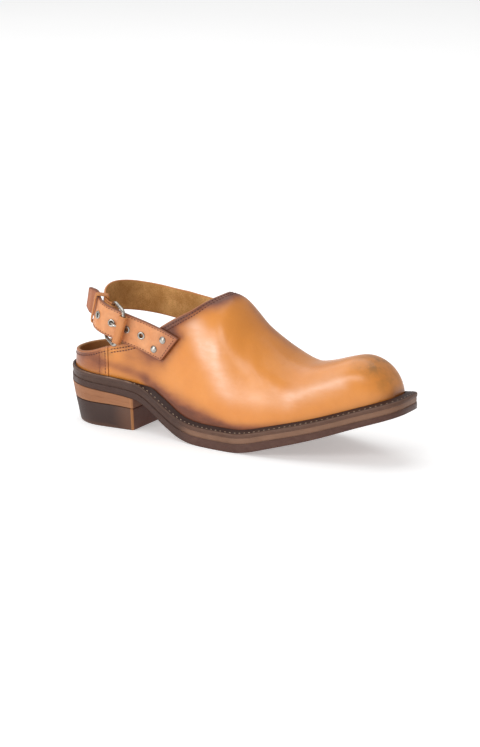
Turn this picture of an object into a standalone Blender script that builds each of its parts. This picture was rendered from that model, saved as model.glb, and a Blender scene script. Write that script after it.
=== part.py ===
"""Right shoe of a tan leather slingback mule: a hollow upper on a welted sole with a stacked heel.

The toe points along +X, the inner side of the foot is +Y, the outer side with the buckle is -Y.
Lengths are in metres. Stations along the shoe are measured from the back edge of the sole.
"""

import math

import bmesh
import bpy
import numpy as np

# Main sizes
LENGTH = 0.308  # outsole, heel to toe
BALL_HALF = 0.047  # half of the sole's width at the ball
HEEL_HEIGHT = 0.0282  # floor to sole at the heel breast
TOE_SPRING = 0.0415  # floor to sole at the toe
INSTEP_HEIGHT = 0.106  # crown of the vamp over its feather line
GAP = 0.0003  # clearance between neighbouring pieces
FEATHER_GAP = 0.0005  # upper's bottom edge over the midsole

# Sole
OUTSOLE_THICK = 0.0072
MIDSOLE_THICK = 0.0043
WELT_THICK = 0.0030
INSOLE_THICK = 0.0030
SOLE_CHAMFER = 0.0006
MIDSOLE_SET_IN = 0.0005
HEEL_ROUND = 0.034
TOE_ROUND = 0.030
SOLE_TOE_POWER = 3.5
HEEL_POWER = 2.2
WELT_WIDTH = 0.0055  # sole edge to upper at the ball
WELT_RISE = 0.0030  # the welt's top climbs this much from its edge to the upper
WELT_RISE_RUN = 0.020  # length over which it begins, in front of the heel rand
BREAST_SHARE = 0.232  # heel breast, share of the length
HEEL_SET_BACK = 0.0075  # how far the heel's foot stands in from the sole's back edge
HEEL_TAPER = 0.93  # width of the heel's foot against its top
WEDGE_BACK = 0.0134
WEDGE_FRONT = 0.0086

# Upper
WALL = 0.0022
COUNTER_STEP = 0.0008
COUNTER_SHARE = 0.155
CROWN_ROUND = 0.038
UPPER_TOE_POWER = 2.9
UPPER_TOE_GAP = 0.0085
CROWN_SET_BACK = 0.033  # the crown comes down here, share of the toe's round
UPPER_HEEL_GAP = 0.0032
SIDE_SWELL = 0.0030
SEAT_ROOM = SIDE_SWELL * 0.35  # welt to upper, as the wall swells above the feather
THROAT_SHARE = 0.466
FAN_SHARE = 0.31  # in front of this the wall's rows run towards the throat
HEEL_LEAN = 0.0024

# Strap, tab and buckle
STRAP_WIDTH = 0.0250
STRAP_THICK = 0.0018
TAB_THICK = 0.0026
BAR_RADIUS = 0.0014
BUCKLE_REACH = 0.0175  # hinge bar to outer bar
FRAME_SPARE = 0.0018  # frame's inner side to the strap's edge
BUCKLE_DIP = math.radians(17.3)
SLEEVE_THICK = 0.0013
SLEEVE_WIDTH = 0.0072
SLEEVE_SHORT = 0.0010  # shorter than the strap is wide
PRONG_RADIUS = 0.0010
PRONG_ROOM = 0.0024
PRONG_SLIDE = 0.0004  # where it enters the eyelet, behind its middle
PRONG_LANDING = 0.0042  # eyelet to the place where it lies on the tab
PRONG_SHORT = 0.0008  # its tip ends this far before the outer bar's middle
SLOT_WIDTH = 0.0036
SLOT_DEPTH = 0.0120
SLOT_BACK = 0.0045  # the prong slot behind the hinge bar
FOLD_LENGTH = 0.0110
TAB_REACH = 0.0620
TAB_SLANT = 0.0100
TAB_SLANT_RUN = 0.0200  # length over which the tab's end turns to its slant
TAIL_LENGTH = 0.0302
TAIL_NARROWING = 0.0080
KEEPER_PLACE = 0.0150
KEEPER_WIDTH = 0.0040
KEEPER_THICK = 0.0015
KEEPER_ROOM = 0.0009
EYELET_PITCH = 0.0136
EYELET_FIRST = 0.0062
EYELET_HOLE = 0.0024
EYELET_FLANGE = 0.0033
EYELET_RISE = 0.0006
EYELET_WALL = 0.0004
RIVET_RADIUS = 0.0031
RIVET_RISE = 0.0013
RIVET_HOLE = 0.0016
RIVET_DOME = (0.22, 0.5, 0.75, 0.93)  # places up the dome, shares of a quarter turn
RIVETS = ((0.0526, 0.0048), (0.0489, -0.0057))  # distance in front of the hinge, height on the tab
EYELETS = [EYELET_FIRST + EYELET_PITCH * i for i in (-1, 0, 1, 2)]
STRAP_END_SHARE = 0.400
STRAP_SEAT = 0.822  # middle of its sewn end, share of the collar's peak
STRAP_SEAT_DROP = 0.020
STRAP_UPRIGHT = 0.040  # length over which the strap turns from the buckle's tilt to upright
STRAP_LEAD = 0.001  # the strap leaves the hinge bar straight for this length
STRAP_AFTER_FOLD = 0.0015
COLLAR_ROOM = 0.0009  # strap inside the collar
TAB_CLEAR = 0.0003
TAB_DIP = 0.0012  # the tab leans in under the outer bar
TAB_SETTLE_FROM = 0.012  # from here the tab comes down on the upper
TAB_SETTLE = 0.030
TAIL_SPRING = math.radians(38)  # turn of the loose tail away from the strap
TAIL_BEND = 0.008  # length over which it turns
TAIL_RISE = 0.10
FRAME_CORNER = 0.0042

# How finely the curves are divided
SOLE_STATIONS = 34
END_SHARE = 0.02  # first station of a round end
HEEL_STATIONS = 15
UPPER_ROWS = 12
SIDE_COLUMNS = 15
FAN_COLUMNS = 26
FAN_FOOT = 0.88  # share of the fan's columns that start on the feather line's side
STRAP_STEPS = 40
TAB_COLUMNS = 5
TAB_STEPS = 20
TAIL_STEPS = 16

# Sole sections: share of length, outer half width, inner half width, welt, outsole thickness
SOLE_ROWS = (
    (0.000, 0.640, 0.640, 0.58, 0.69),
    (0.115, 0.695, 0.685, 0.58, 0.70),
    (0.235, 0.670, 0.650, 0.70, 0.78),
    (0.327, 0.735, 0.640, 0.80, 0.86),
    (0.430, 0.880, 0.780, 0.90, 1.00),
    (0.540, 0.960, 0.940, 1.00, 1.00),
    (0.620, 0.970, 1.045, 1.00, 1.00),
    (0.703, 0.915, 1.035, 1.00, 0.92),
    (0.800, 0.775, 0.875, 1.05, 0.80),
    (0.900, 0.610, 0.670, 1.10, 0.70),
    (1.000, 0.480, 0.530, 1.20, 0.64),
)
# Underside of the sole: share of length, share of heel height, share of toe spring
UNDERSIDE_ROWS = (
    (0.000, 1.20, 0.00),
    (0.120, 1.105, 0.00),
    (0.195, 1.035, 0.00),
    (0.245, 0.945, 0.00),
    (0.285, 0.730, 0.00),
    (0.337, 0.370, 0.00),
    (0.385, 0.125, 0.00),
    (0.430, 0.02, 0.00),
    (0.465, 0.00, 0.00),
    (0.560, 0.00, 0.00),
    (0.605, 0.00, 0.05),
    (0.657, 0.00, 0.16),
    (0.784, 0.00, 0.44),
    (0.905, 0.00, 0.76),
    (1.000, 0.00, 1.00),
)
# Crown of the last: share of length, height as a share of the instep height, fullness of the section
CROWN_ROWS = (
    (0.000, 0.62, 3.2),
    (0.200, 0.86, 2.9),
    (0.350, 0.97, 2.5),
    (0.466, 1.00, 2.3),
    (0.496, 0.98, 2.3),
    (0.521, 0.92, 2.2),
    (0.562, 0.795, 2.1),
    (0.614, 0.660, 2.1),
    (0.647, 0.570, 2.2),
    (0.680, 0.490, 2.3),
    (0.722, 0.432, 2.4),
    (0.765, 0.425, 2.5),
    (0.815, 0.428, 2.5),
    (0.866, 0.420, 2.5),
    (0.910, 0.405, 2.5),
    (1.000, 0.380, 2.5),
)
# Collar: share of length, height as a share of the throat's peak
COLLAR_ROWS = (
    (0.000, 0.490),
    (0.050, 0.497),
    (0.100, 0.520),
    (0.152, 0.567),
    (0.230, 0.622),
    (0.270, 0.673),
    (0.310, 0.745),
    (0.363, 0.835),
    (0.400, 0.890),
    (0.440, 0.964),
    (0.466, 1.000),
)
# Loose part of the back strap, from the buckle round the heel: shares of length, ball half, peak
STRAP_ROWS = (
    (0.1405, -0.558, 0.793),
    (0.1250, -0.450, 0.822),
    (0.1125, -0.240, 0.853),
    (0.1090, 0.050, 0.865),
    (0.1190, 0.340, 0.856),
    (0.1480, 0.560, 0.838),
    (0.2020, 0.600, 0.828),
    (0.2650, 0.515, 0.822),
)


def through(rows, column):
    """A smooth curve through one column of a table that never swings past its rows."""
    x = np.array([row[0] for row in rows], float)
    y = np.array([row[column] for row in rows], float)
    step = np.diff(x)
    slope = np.diff(y) / step
    tangent = np.zeros_like(y)
    tangent[0], tangent[-1] = slope[0], slope[-1]
    for i in range(1, len(x) - 1):
        if slope[i - 1] * slope[i] > 0:
            before, after = 2 * step[i] + step[i - 1], step[i] + 2 * step[i - 1]
            tangent[i] = (before + after) / (before / slope[i - 1] + after / slope[i])

    def value(at):
        at = min(max(at, x[0]), x[-1])
        i = int(min(np.searchsorted(x, at, side="right") - 1, len(x) - 2))
        t = (at - x[i]) / step[i]
        return (
            (1 + 2 * t) * (1 - t) ** 2 * y[i]
            + t * (1 - t) ** 2 * step[i] * tangent[i]
            + t * t * (3 - 2 * t) * y[i + 1]
            + t * t * (t - 1) * step[i] * tangent[i + 1]
        )

    return value


outer_share, inner_share, welt_share, outsole_share = (through(SOLE_ROWS, c) for c in (1, 2, 3, 4))
heel_lift, toe_lift = (through(UNDERSIDE_ROWS, c) for c in (1, 2))
crown_share, crown_power = (through(CROWN_ROWS, c) for c in (1, 2))
collar_share = through(COLLAR_ROWS, 1)


def underside(x):
    share = x / LENGTH
    return HEEL_HEIGHT * heel_lift(share) + TOE_SPRING * toe_lift(share)


def outsole_top(x):
    return underside(x) + OUTSOLE_THICK * outsole_share(x / LENGTH)


def midsole_top(x):
    return outsole_top(x) + GAP + MIDSOLE_THICK


def welt_top(x):
    return midsole_top(x) + GAP + WELT_THICK


def feather(x):
    """Bottom edge of the upper, on the midsole."""
    return midsole_top(x) + FEATHER_GAP


def rounded(x, start, end, toe_power):
    """Share of the full width left by the round heel and toe."""
    if x < start + HEEL_ROUND:
        part, power = (start + HEEL_ROUND - x) / HEEL_ROUND, HEEL_POWER
    elif x > end - TOE_ROUND:
        part, power = (x - end + TOE_ROUND) / TOE_ROUND, toe_power
    else:
        return 1.0
    return max(0.0, 1 - min(1.0, part) ** power) ** (1 / power)


def sole_half(x, side):
    share = outer_share(x / LENGTH) if side < 0 else inner_share(x / LENGTH)
    return side * BALL_HALF * share * rounded(x, 0.0, LENGTH, SOLE_TOE_POWER)


COLLAR_PEAK = feather(THROAT_SHARE * LENGTH) + INSTEP_HEIGHT  # top of the throat above the floor
UPPER_START, UPPER_END = UPPER_HEEL_GAP, LENGTH - UPPER_TOE_GAP
CROWN_END = UPPER_END - CROWN_SET_BACK * TOE_ROUND  # where the plan is still broad


def upper_half(x, side):
    share = outer_share(x / LENGTH) if side < 0 else inner_share(x / LENGTH)
    width = BALL_HALF * share - WELT_WIDTH * welt_share(x / LENGTH)
    return side * width * rounded(x, UPPER_START, UPPER_END, UPPER_TOE_POWER)


def crown_height(x):
    reach = min(1.0, max(0.0, (x - CROWN_END + CROWN_ROUND) / CROWN_ROUND))
    return INSTEP_HEIGHT * crown_share(x / LENGTH) * math.sqrt(max(0.0, 1 - reach * reach))


def last_point(x, angle):
    """Outside of the upper at a station; the angle runs from 0 (outer feather) over the crown to pi."""
    side = -1 if angle <= math.pi / 2 else 1
    power = 2 / crown_power(x / LENGTH)
    across = abs(math.cos(angle)) ** power
    rise = abs(math.sin(angle)) ** power
    height = crown_height(x)
    half = upper_half(x, side)
    fullness = min(1.0, abs(half) / BALL_HALF * 1.4)
    swell = side * SIDE_SWELL * fullness * math.sin(2 * min(angle, math.pi - angle))
    back = max(0.0, 1 - (x - UPPER_START) / HEEL_ROUND) ** 2
    lean = HEEL_LEAN * back * min(1.0, rise * height / HEEL_HEIGHT)
    return np.array([x + lean, half * across + swell, feather(x) + rise * height])


def angle_at(x, height):
    """Angle at which the outside reaches a height above the floor."""
    crown = max(crown_height(x), 1e-6)
    rise = min(1.0, max(0.0, (height - feather(x)) / crown))
    return math.asin(min(1.0, rise ** (crown_power(x / LENGTH) / 2)))


def collar_height(x):
    return COLLAR_PEAK * collar_share(x / LENGTH)


def collar_angle(x):
    if x >= THROAT_SHARE * LENGTH:
        return math.pi / 2
    return angle_at(x, collar_height(x))


def side_point(x, height, side):
    """Outside of the upper's side at a station and a height."""
    angle = angle_at(x, min(height, collar_height(x)))
    point = last_point(x, angle if side < 0 else math.pi - angle)
    return np.array([x, point[1], height])


def beside_wall(x, height, side, distance):
    """A point level with the wall's outside, moved off it by a distance square to the wall."""
    low = min(height, collar_height(x) - WALL)
    here = side_point(x, low, side)
    slope_up = (side_point(x, low + WALL, side)[1] - here[1]) / WALL
    slope_on = (side_point(x + WALL, low, side)[1] - here[1]) / WALL
    here[1] += side * distance * math.sqrt(1 + slope_up**2 + slope_on**2)
    here[2] = height
    return here


def unit(vector):
    return np.asarray(vector, float) / max(np.linalg.norm(vector), 1e-12)


def grid_normals(grid, closed):
    """Normals of a grid of points, from its rows and columns."""
    if closed:
        along = np.roll(grid, -1, axis=0) - np.roll(grid, 1, axis=0)
    else:
        along = np.gradient(grid, axis=0)
    across = np.gradient(grid, axis=1)
    normals = np.cross(along, across)
    return normals / np.maximum(np.linalg.norm(normals, axis=2, keepdims=True), 1e-12)


materials = {}


def material(name, colour, roughness, metallic=0.0):
    """Each piece's plain finish; pieces of one finish share it."""
    if name not in materials:
        made = bpy.data.materials.new(name)
        made.use_nodes = True
        shader = made.node_tree.nodes["Principled BSDF"]
        shader.inputs["Base Color"].default_value = (*colour, 1.0)
        shader.inputs["Roughness"].default_value = roughness
        shader.inputs["Metallic"].default_value = metallic
        materials[name] = made
    return materials[name]


def tan_leather():
    return material("tan_leather", (0.62, 0.30, 0.11), 0.42)


def suede():
    return material("suede_lining", (0.30, 0.16, 0.06), 0.85)


def dark_edge():
    return material("dark_sole_edge", (0.065, 0.030, 0.022), 0.55)


def red_edge():
    return material("outsole_edge", (0.095, 0.040, 0.030), 0.60)


def stacked_leather():
    return material("stacked_leather", (0.40, 0.20, 0.11), 0.55)


def nickel():
    return material("nickel", (0.55, 0.54, 0.52), 0.28, 1.0)


def add_object(name, points, faces, finish, smooth=True):
    mesh = bpy.data.meshes.new(name)
    mesh.from_pydata([tuple(map(float, p)) for p in points], [], [tuple(map(int, f)) for f in faces])
    mesh.validate()
    made = bpy.data.objects.new(name, mesh)
    bpy.context.scene.collection.objects.link(made)
    mesh.materials.append(finish)
    if smooth:
        mesh.shade_smooth()
        mesh.set_sharp_from_angle(angle=math.radians(40))
    return made


def loft(name, rings, finish):
    """A solid through closed rings of equally many points, with paired points across each end."""
    count = len(rings[0])
    points = [p for ring in rings for p in ring]
    faces = []
    for r in range(len(rings) - 1):
        for i in range(count):
            j = (i + 1) % count
            faces.append((r * count + i, r * count + j, (r + 1) * count + j, (r + 1) * count + i))
    last = (len(rings) - 1) * count
    for i in range(count // 2 - 1):
        j, k, m = i + 1, count - 2 - i, count - 1 - i
        faces.append((m, k, j, i))
        faces.append((last + i, last + j, last + k, last + m))
    return add_object(name, points, faces, finish)


def sheet(name, grid, thickness, finish, closed=False, inner=None):
    """A wall around a grid of points: half its thickness to each side, or between two given grids."""
    grid = np.asarray(grid, float)
    if inner is None:
        normals = grid_normals(grid, closed)
        outer, inner = grid + normals * thickness / 2, grid - normals * thickness / 2
    else:
        outer = grid
    rows, columns = grid.shape[:2]
    points = np.concatenate([outer.reshape(-1, 3), inner.reshape(-1, 3)])
    shift = rows * columns
    faces = []
    steps = rows if closed else rows - 1
    for r in range(steps):
        q = (r + 1) % rows
        for c in range(columns - 1):
            a, b, d, e = r * columns + c, q * columns + c, q * columns + c + 1, r * columns + c + 1
            faces.append((a, b, d, e))
            faces.append((shift + e, shift + d, shift + b, shift + a))
        for c, flip in ((0, True), (columns - 1, False)):
            a, b = r * columns + c, q * columns + c
            rim = (a, b, shift + b, shift + a)
            faces.append(rim[::-1] if flip else rim)
    if not closed:
        for r, flip in ((0, False), (rows - 1, True)):
            for c in range(columns - 1):
                a, b = r * columns + c, r * columns + c + 1
                rim = (a, b, shift + b, shift + a)
                faces.append(rim[::-1] if flip else rim)
    return add_object(name, points, faces, finish)


def tube(name, path, radius, finish, closed=False, sides=10):
    """A round wire along a path."""
    path = np.asarray(path, float)
    count = len(path)
    side = None
    points = []
    for i in range(count):
        before = path[i - 1] if (i or closed) else path[0]
        after = path[(i + 1) % count] if (i < count - 1 or closed) else path[-1]
        tangent = unit(after - before)
        if side is None:
            side = unit(np.cross(tangent, [0.3, 0.1, 1.0]))
        side = unit(side - tangent * side.dot(tangent))
        other = np.cross(tangent, side)
        for k in range(sides):
            turn = 2 * math.pi * k / sides
            points.append(path[i] + radius * (math.cos(turn) * side + math.sin(turn) * other))
    faces = []
    for i in range(count if closed else count - 1):
        j = (i + 1) % count
        for k in range(sides):
            m = (k + 1) % sides
            faces.append((i * sides + k, i * sides + m, j * sides + m, j * sides + k))
    if not closed:
        faces.append(tuple(reversed(range(sides))))
        faces.append(tuple((count - 1) * sides + k for k in range(sides)))
    return add_object(name, points, faces, finish)


def cut(made, cutter):
    """Takes the cutter's shape out of a piece."""
    cutter.hide_render = True
    cutter.display_type = "WIRE"
    change = made.modifiers.new("cut", "BOOLEAN")
    change.operation = "DIFFERENCE"
    change.solver = "EXACT"
    change.object = cutter


def plug(name, centre, axis, radius, length, sides=16):
    """A round cutter along an axis."""
    axis = unit(axis)
    return tube(name, [centre - axis * length / 2, centre + axis * length / 2], radius, nickel(), sides=sides)


def stations(start, end, count):
    """Stations that crowd towards both round ends."""
    places = []
    for i in range(count):
        turn = math.pi * (END_SHARE + (1 - 2 * END_SHARE) * i / (count - 1))
        places.append(start + (end - start) * (0.5 - 0.5 * math.cos(turn)))
    return places


def plan_loop(half, places):
    """Closed outline in plan, out along the outer side and back along the inner side."""
    outer = [(x, half(x, -1)) for x in places]
    inner = [(x, half(x, 1)) for x in reversed(places)]
    return np.array(outer + inner)


def moved_in(loop, distance):
    """The outline moved inwards, square to its edge."""
    edge = np.roll(loop, -1, axis=0) - np.roll(loop, 1, axis=0)
    inward = np.stack([-edge[:, 1], edge[:, 0]], axis=1)
    return loop + distance * inward / np.linalg.norm(inward, axis=1, keepdims=True)


def raised(loop, height, lift=0.0):
    return [(x, y, height(x) + lift) for x, y in loop]


SOLE_PLACES = stations(0.0, LENGTH, SOLE_STATIONS)
BREAST = BREAST_SHARE * LENGTH
RAND_END = min(range(SOLE_STATIONS), key=lambda i: abs(SOLE_PLACES[i] - BREAST))
SOLE_PLACES[RAND_END : RAND_END + 1] = [BREAST - GAP, BREAST]
LAST_STATION = len(SOLE_PLACES) - 1
SOLE_LOOP = plan_loop(sole_half, SOLE_PLACES)


def make_plate(name, loop, bottom, top, finish):
    """A sole layer with softened edges."""
    edge = moved_in(loop, SOLE_CHAMFER)
    rings = [
        raised(edge, bottom),
        raised(loop, bottom, SOLE_CHAMFER),
        raised(loop, top, -SOLE_CHAMFER),
        raised(edge, top),
    ]
    return loft(name, rings, finish)


def make_outsole():
    make_plate("outsole", SOLE_LOOP, underside, outsole_top, red_edge())


def make_midsole():
    loop = moved_in(SOLE_LOOP, MIDSOLE_SET_IN)
    make_plate("midsole", loop, lambda x: outsole_top(x) + GAP, midsole_top, dark_edge())


def welt_rise(x):
    """How far the welt's top climbs towards the upper at a station."""
    part = min(1.0, max(0.0, (x - BREAST) / WELT_RISE_RUN))
    return WELT_RISE * part * part * (3 - 2 * part)


def strip_ring(name, first, last, finish):
    """A strip on the midsole between the sole's edge and the upper, along part of the outline."""
    outer_side = list(range(first, last + 1))
    inner_side = [2 * LAST_STATION + 1 - i for i in outer_side]
    order = inner_side[::-1] + outer_side if first == 0 else outer_side + inner_side[::-1]
    softened = moved_in(SOLE_LOOP, SOLE_CHAMFER)
    beside_upper = moved_in(plan_loop(upper_half, SOLE_UPPER_PLACES), -GAP - SEAT_ROOM)
    points = []
    for k in order:
        (ox, oy), (cx, cy), (ix, iy) = SOLE_LOOP[k], softened[k], beside_upper[k]
        points += [
            (ox, oy, midsole_top(ox) + GAP),
            (ox, oy, welt_top(ox) - SOLE_CHAMFER),
            (cx, cy, welt_top(cx)),
            (ix, iy, welt_top(ix) + welt_rise(ix)),
            (ix, iy, midsole_top(ix) + GAP),
        ]
    rows, columns = len(order), 5
    faces = []
    for r in range(rows - 1):
        for c in range(columns):
            d = (c + 1) % columns
            a, b = r * columns, (r + 1) * columns
            faces.append((a + c, b + c, b + d, a + d))
    faces.append(tuple(reversed(range(columns))))
    faces.append(tuple((rows - 1) * columns + c for c in range(columns)))
    return add_object(name, points, faces, finish)


def upper_place(x):
    """The sole's station moved into the upper's length at the round ends, and kept between them."""
    if x < HEEL_ROUND:
        return UPPER_START + x * (HEEL_ROUND - UPPER_START) / HEEL_ROUND
    toe = UPPER_END - TOE_ROUND
    if x > toe:
        return toe + (x - toe) * TOE_ROUND / (LENGTH - toe)
    return x


SOLE_UPPER_PLACES = [upper_place(x) for x in SOLE_PLACES]


def make_welt():
    strip_ring("welt", RAND_END + 1, LAST_STATION, dark_edge())


def make_heel_rand():
    strip_ring("heel_rand", 0, RAND_END, dark_edge())


def heel_loop(share):
    """Outline of the heel; the share runs from 0 on the floor to 1 at the sole."""
    back = HEEL_SET_BACK * (1 - share)
    taper = HEEL_TAPER + (1 - HEEL_TAPER) * share
    places = []
    for i in range(HEEL_STATIONS):
        t = END_SHARE + (1 - END_SHARE) * i / (HEEL_STATIONS - 1)
        places.append(1 - math.cos(math.pi / 2 * t))
    outer, inner = [], []
    for p in places:
        at = BREAST * p
        x = back + (BREAST - back) * p
        outer.append((x, taper * sole_half(at, -1)))
        inner.append((x, taper * sole_half(at, 1)))
    return np.array(outer + inner[::-1])


def wedge_bottom(x):
    return underside(x) - GAP - WEDGE_BACK + (WEDGE_BACK - WEDGE_FRONT) * x / BREAST


def make_heel_piece(name, bottom, top, finish):
    """One layer of the heel between two heights, following the heel's taper."""
    rings = []
    for height, inset, lift in ((bottom, 1, 0.0), (bottom, 0, 1), (top, 0, -1), (top, 1, 0.0)):
        middle = height(BREAST / 2) / underside(BREAST / 2)
        loop = heel_loop(min(1.0, middle))
        loop = moved_in(loop, SOLE_CHAMFER * inset)
        rings.append(raised(loop, height, lift * SOLE_CHAMFER))
    return loft(name, rings, finish)


def make_heel():
    make_heel_piece("heel_wedge", wedge_bottom, lambda x: underside(x) - GAP, stacked_leather())
    make_heel_piece("heel_block", lambda x: 0.0, lambda x: wedge_bottom(x) - GAP, dark_edge())


def column_ends():
    """Feather and collar ends of each line up the wall: station share and angle at both ends."""
    columns = []
    fan_start = FAN_SHARE * LENGTH
    heel_to_fan = []
    for i in range(1, SIDE_COLUMNS + 1):
        part = 1 - math.cos(math.pi / 2 * i / SIDE_COLUMNS)
        heel_to_fan.append(UPPER_START + (fan_start - UPPER_START) * part)
    step_at = COUNTER_SHARE * LENGTH
    nearest = min(range(len(heel_to_fan)), key=lambda i: abs(heel_to_fan[i] - step_at))
    heel_to_fan[nearest] = step_at
    heel_to_fan.insert(nearest + 1, step_at + GAP)
    for x in heel_to_fan:
        columns.append((x, 0.0, x))
    throat = THROAT_SHARE * LENGTH
    for i in range(1, FAN_COLUMNS + 1):
        t = i / FAN_COLUMNS
        x = fan_start + (CROWN_END - fan_start) * math.sin(math.pi / 2 * min(1.0, t / FAN_FOOT))
        angle = 0.0 if t < FAN_FOOT else math.pi / 2 * (t - FAN_FOOT) / (1 - FAN_FOOT)
        collar = fan_start + (throat - fan_start) * (1 - (1 - t) ** 2)
        columns.append((x, angle, collar))
    return columns


def wall_line(start, angle, collar, side, rows=UPPER_ROWS):
    """Points up the outside of the wall from the feather to the collar."""
    end_angle = collar_angle(collar)
    span = CROWN_END - UPPER_START
    depth = math.sqrt(max(0.0, (CROWN_END - start) / span))
    collar_depth = math.sqrt((CROWN_END - collar) / span)
    line = []
    for r in range(rows):
        v = r / (rows - 1)
        d = depth + (collar_depth - depth) * v
        a = angle + (end_angle - angle) * v
        x = CROWN_END - span * d * d
        line.append(last_point(x, a if side < 0 else math.pi - a))
    return line


def upper_grids():
    """Outside and inside of the upper, with the counter standing proud at the heel."""
    ends = column_ends()
    lines = [wall_line(UPPER_START, 0.0, UPPER_START, -1)]
    raised_lines = [True]
    for x, angle, collar in ends:
        lines.append(wall_line(x, angle, collar, -1))
        raised_lines.append(x <= COUNTER_SHARE * LENGTH and angle == 0.0)
    for x, angle, collar in reversed(ends[:-1]):
        lines.append(wall_line(x, angle, collar, 1))
        raised_lines.append(x <= COUNTER_SHARE * LENGTH and angle == 0.0)
    outer = np.array(lines)
    normals = grid_normals(outer, True)
    inner = outer - normals * WALL
    inner[:, 0, 2] = outer[:, 0, 2]
    proud = np.array([COUNTER_STEP if up else 0.0 for up in raised_lines])
    outer = outer + normals * proud[:, None, None]
    return outer, inner


def make_upper():
    outer, inner = upper_grids()
    sheet("upper", outer, WALL, tan_leather(), closed=True, inner=inner)


def insole_top(x):
    return midsole_top(x) + GAP + INSOLE_THICK


def make_insole():
    """The sock and insole on the midsole, inside the upper's feather edge."""
    loop = plan_loop(upper_half, SOLE_UPPER_PLACES)
    loop = moved_in(loop, WALL + 4 * GAP)
    make_plate("insole", loop, lambda x: midsole_top(x) + GAP, insole_top, suede())


BUCKLE_AXIS = np.array([math.cos(BUCKLE_DIP), 0.0, -math.sin(BUCKLE_DIP)])
BUCKLE_UP = np.array([math.sin(BUCKLE_DIP), 0.0, math.cos(BUCKLE_DIP)])
OUTWARD = np.array([0.0, -1.0, 0.0])
HINGE = np.array([0.161 * LENGTH, -0.628 * BALL_HALF, 0.776 * COLLAR_PEAK])
FOLD_OFFSET = BAR_RADIUS + GAP + STRAP_THICK / 2


def spline(points, count):
    """A smooth curve through a few points, at even spacing."""
    points = [2 * points[0] - points[1], *points, 2 * points[-1] - points[-2]]
    fine = []
    for i in range(1, len(points) - 2):
        p0, p1, p2, p3 = points[i - 1 : i + 3]
        for k in range(20):
            t = k / 20
            square = 2 * p0 - 5 * p1 + 4 * p2 - p3
            cube = 3 * p1 - p0 - 3 * p2 + p3
            fine.append(0.5 * (2 * p1 + (p2 - p0) * t + square * t * t + cube * t**3))
    fine.append(points[-2])
    fine = np.array(fine)
    run = np.concatenate([[0], np.cumsum(np.linalg.norm(np.diff(fine, axis=0), axis=1))])
    at = np.linspace(0, run[-1], count)
    return np.stack([np.interp(at, run, fine[:, k]) for k in range(3)], axis=1)


def strap_rows_attached():
    """Rows of the strap inside the inner collar, where it is sewn on."""
    rows = []
    end = STRAP_END_SHARE * LENGTH
    start = FAN_SHARE * LENGTH
    for i in range(5):
        x = start + (end - start) * i / 4
        centre = COLLAR_PEAK * (STRAP_SEAT - STRAP_SEAT_DROP * i / 4)
        row = []
        for k in range(4):
            z = centre + STRAP_WIDTH * (k / 3 - 0.5)
            row.append(beside_wall(x, z, 1, -(WALL + 2 * GAP + STRAP_THICK / 2 + COLLAR_ROOM)))
        rows.append(row)
    return rows


def strap_path():
    """Middle line of the loose strap from the hinge bar round the heel."""
    first = HINGE - OUTWARD * FOLD_OFFSET
    scale = np.array([LENGTH, BALL_HALF, COLLAR_PEAK])
    points = [first + BUCKLE_AXIS * STRAP_LEAD, first] + [np.array(row) * scale for row in STRAP_ROWS]
    joined = strap_rows_attached()[0]
    points.append((np.array(joined[1]) + np.array(joined[2])) / 2)
    return spline(points, 46)


PATH = strap_path()
RUN = np.concatenate([[0], np.cumsum(np.linalg.norm(np.diff(PATH, axis=0), axis=1))])


def path_frame(distance):
    """Point, direction, upward edge and outward side of the strap at a distance from the hinge."""
    distance = max(0.0, distance)
    at = np.array([np.interp(distance, RUN, PATH[:, k]) for k in range(3)])
    ahead = np.array([np.interp(distance + WALL, RUN, PATH[:, k]) for k in range(3)])
    behind = np.array([np.interp(max(0.0, distance - WALL), RUN, PATH[:, k]) for k in range(3)])
    direction = unit(ahead - behind)
    ease = min(1.0, distance / STRAP_UPRIGHT)
    up = BUCKLE_UP * (1 - ease) + np.array([0.0, 0.0, 1.0]) * ease
    up = unit(up - direction * up.dot(direction))
    outward = unit(np.cross(up, direction))
    if distance < STRAP_LEAD:
        outward = OUTWARD
    return at, direction, up, outward


def across(centre, up, width, count):
    return [centre + up * width * (k / (count - 1) - 0.5) for k in range(count)]


def fold_lift(distance):
    """How far the fold's outer layer lies out from the strap's inner layer behind the hinge bar."""
    share = min(1.0, distance / FOLD_LENGTH)
    close = STRAP_THICK + 2 * GAP
    return close + (2 * FOLD_OFFSET - close) * (1 - share * share * (3 - 2 * share))


def make_back_strap():
    """From the fold's end, round the hinge bar, round the heel and into the inner collar."""
    rows = []
    for i in range(5, 0, -1):
        distance = FOLD_LENGTH * i / 5
        at, _, up, outward = path_frame(distance)
        rows.append(across(at + outward * fold_lift(distance), up, STRAP_WIDTH, 4))
    for i in range(9):
        turn = math.pi / 2 - math.pi * i / 8
        centre = HINGE + FOLD_OFFSET * (math.sin(turn) * OUTWARD + math.cos(turn) * BUCKLE_AXIS)
        rows.append(across(centre, BUCKLE_UP, STRAP_WIDTH, 4))
    for i in range(1, STRAP_STEPS):
        at, _, up, _ = path_frame(STRAP_AFTER_FOLD + (RUN[-1] - STRAP_AFTER_FOLD) * i / STRAP_STEPS)
        rows.append(across(at, up, STRAP_WIDTH, 4))
    rows += strap_rows_attached()
    made = sheet("back_strap", rows, STRAP_THICK, suede())
    reach = FOLD_OFFSET + 2 * STRAP_THICK
    middle = HINGE + BUCKLE_AXIS * (reach - SLOT_BACK) / 2
    cut(made, buckle_box("prong_slot", middle, (reach + SLOT_BACK, SLOT_WIDTH, SLOT_DEPTH)))


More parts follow.
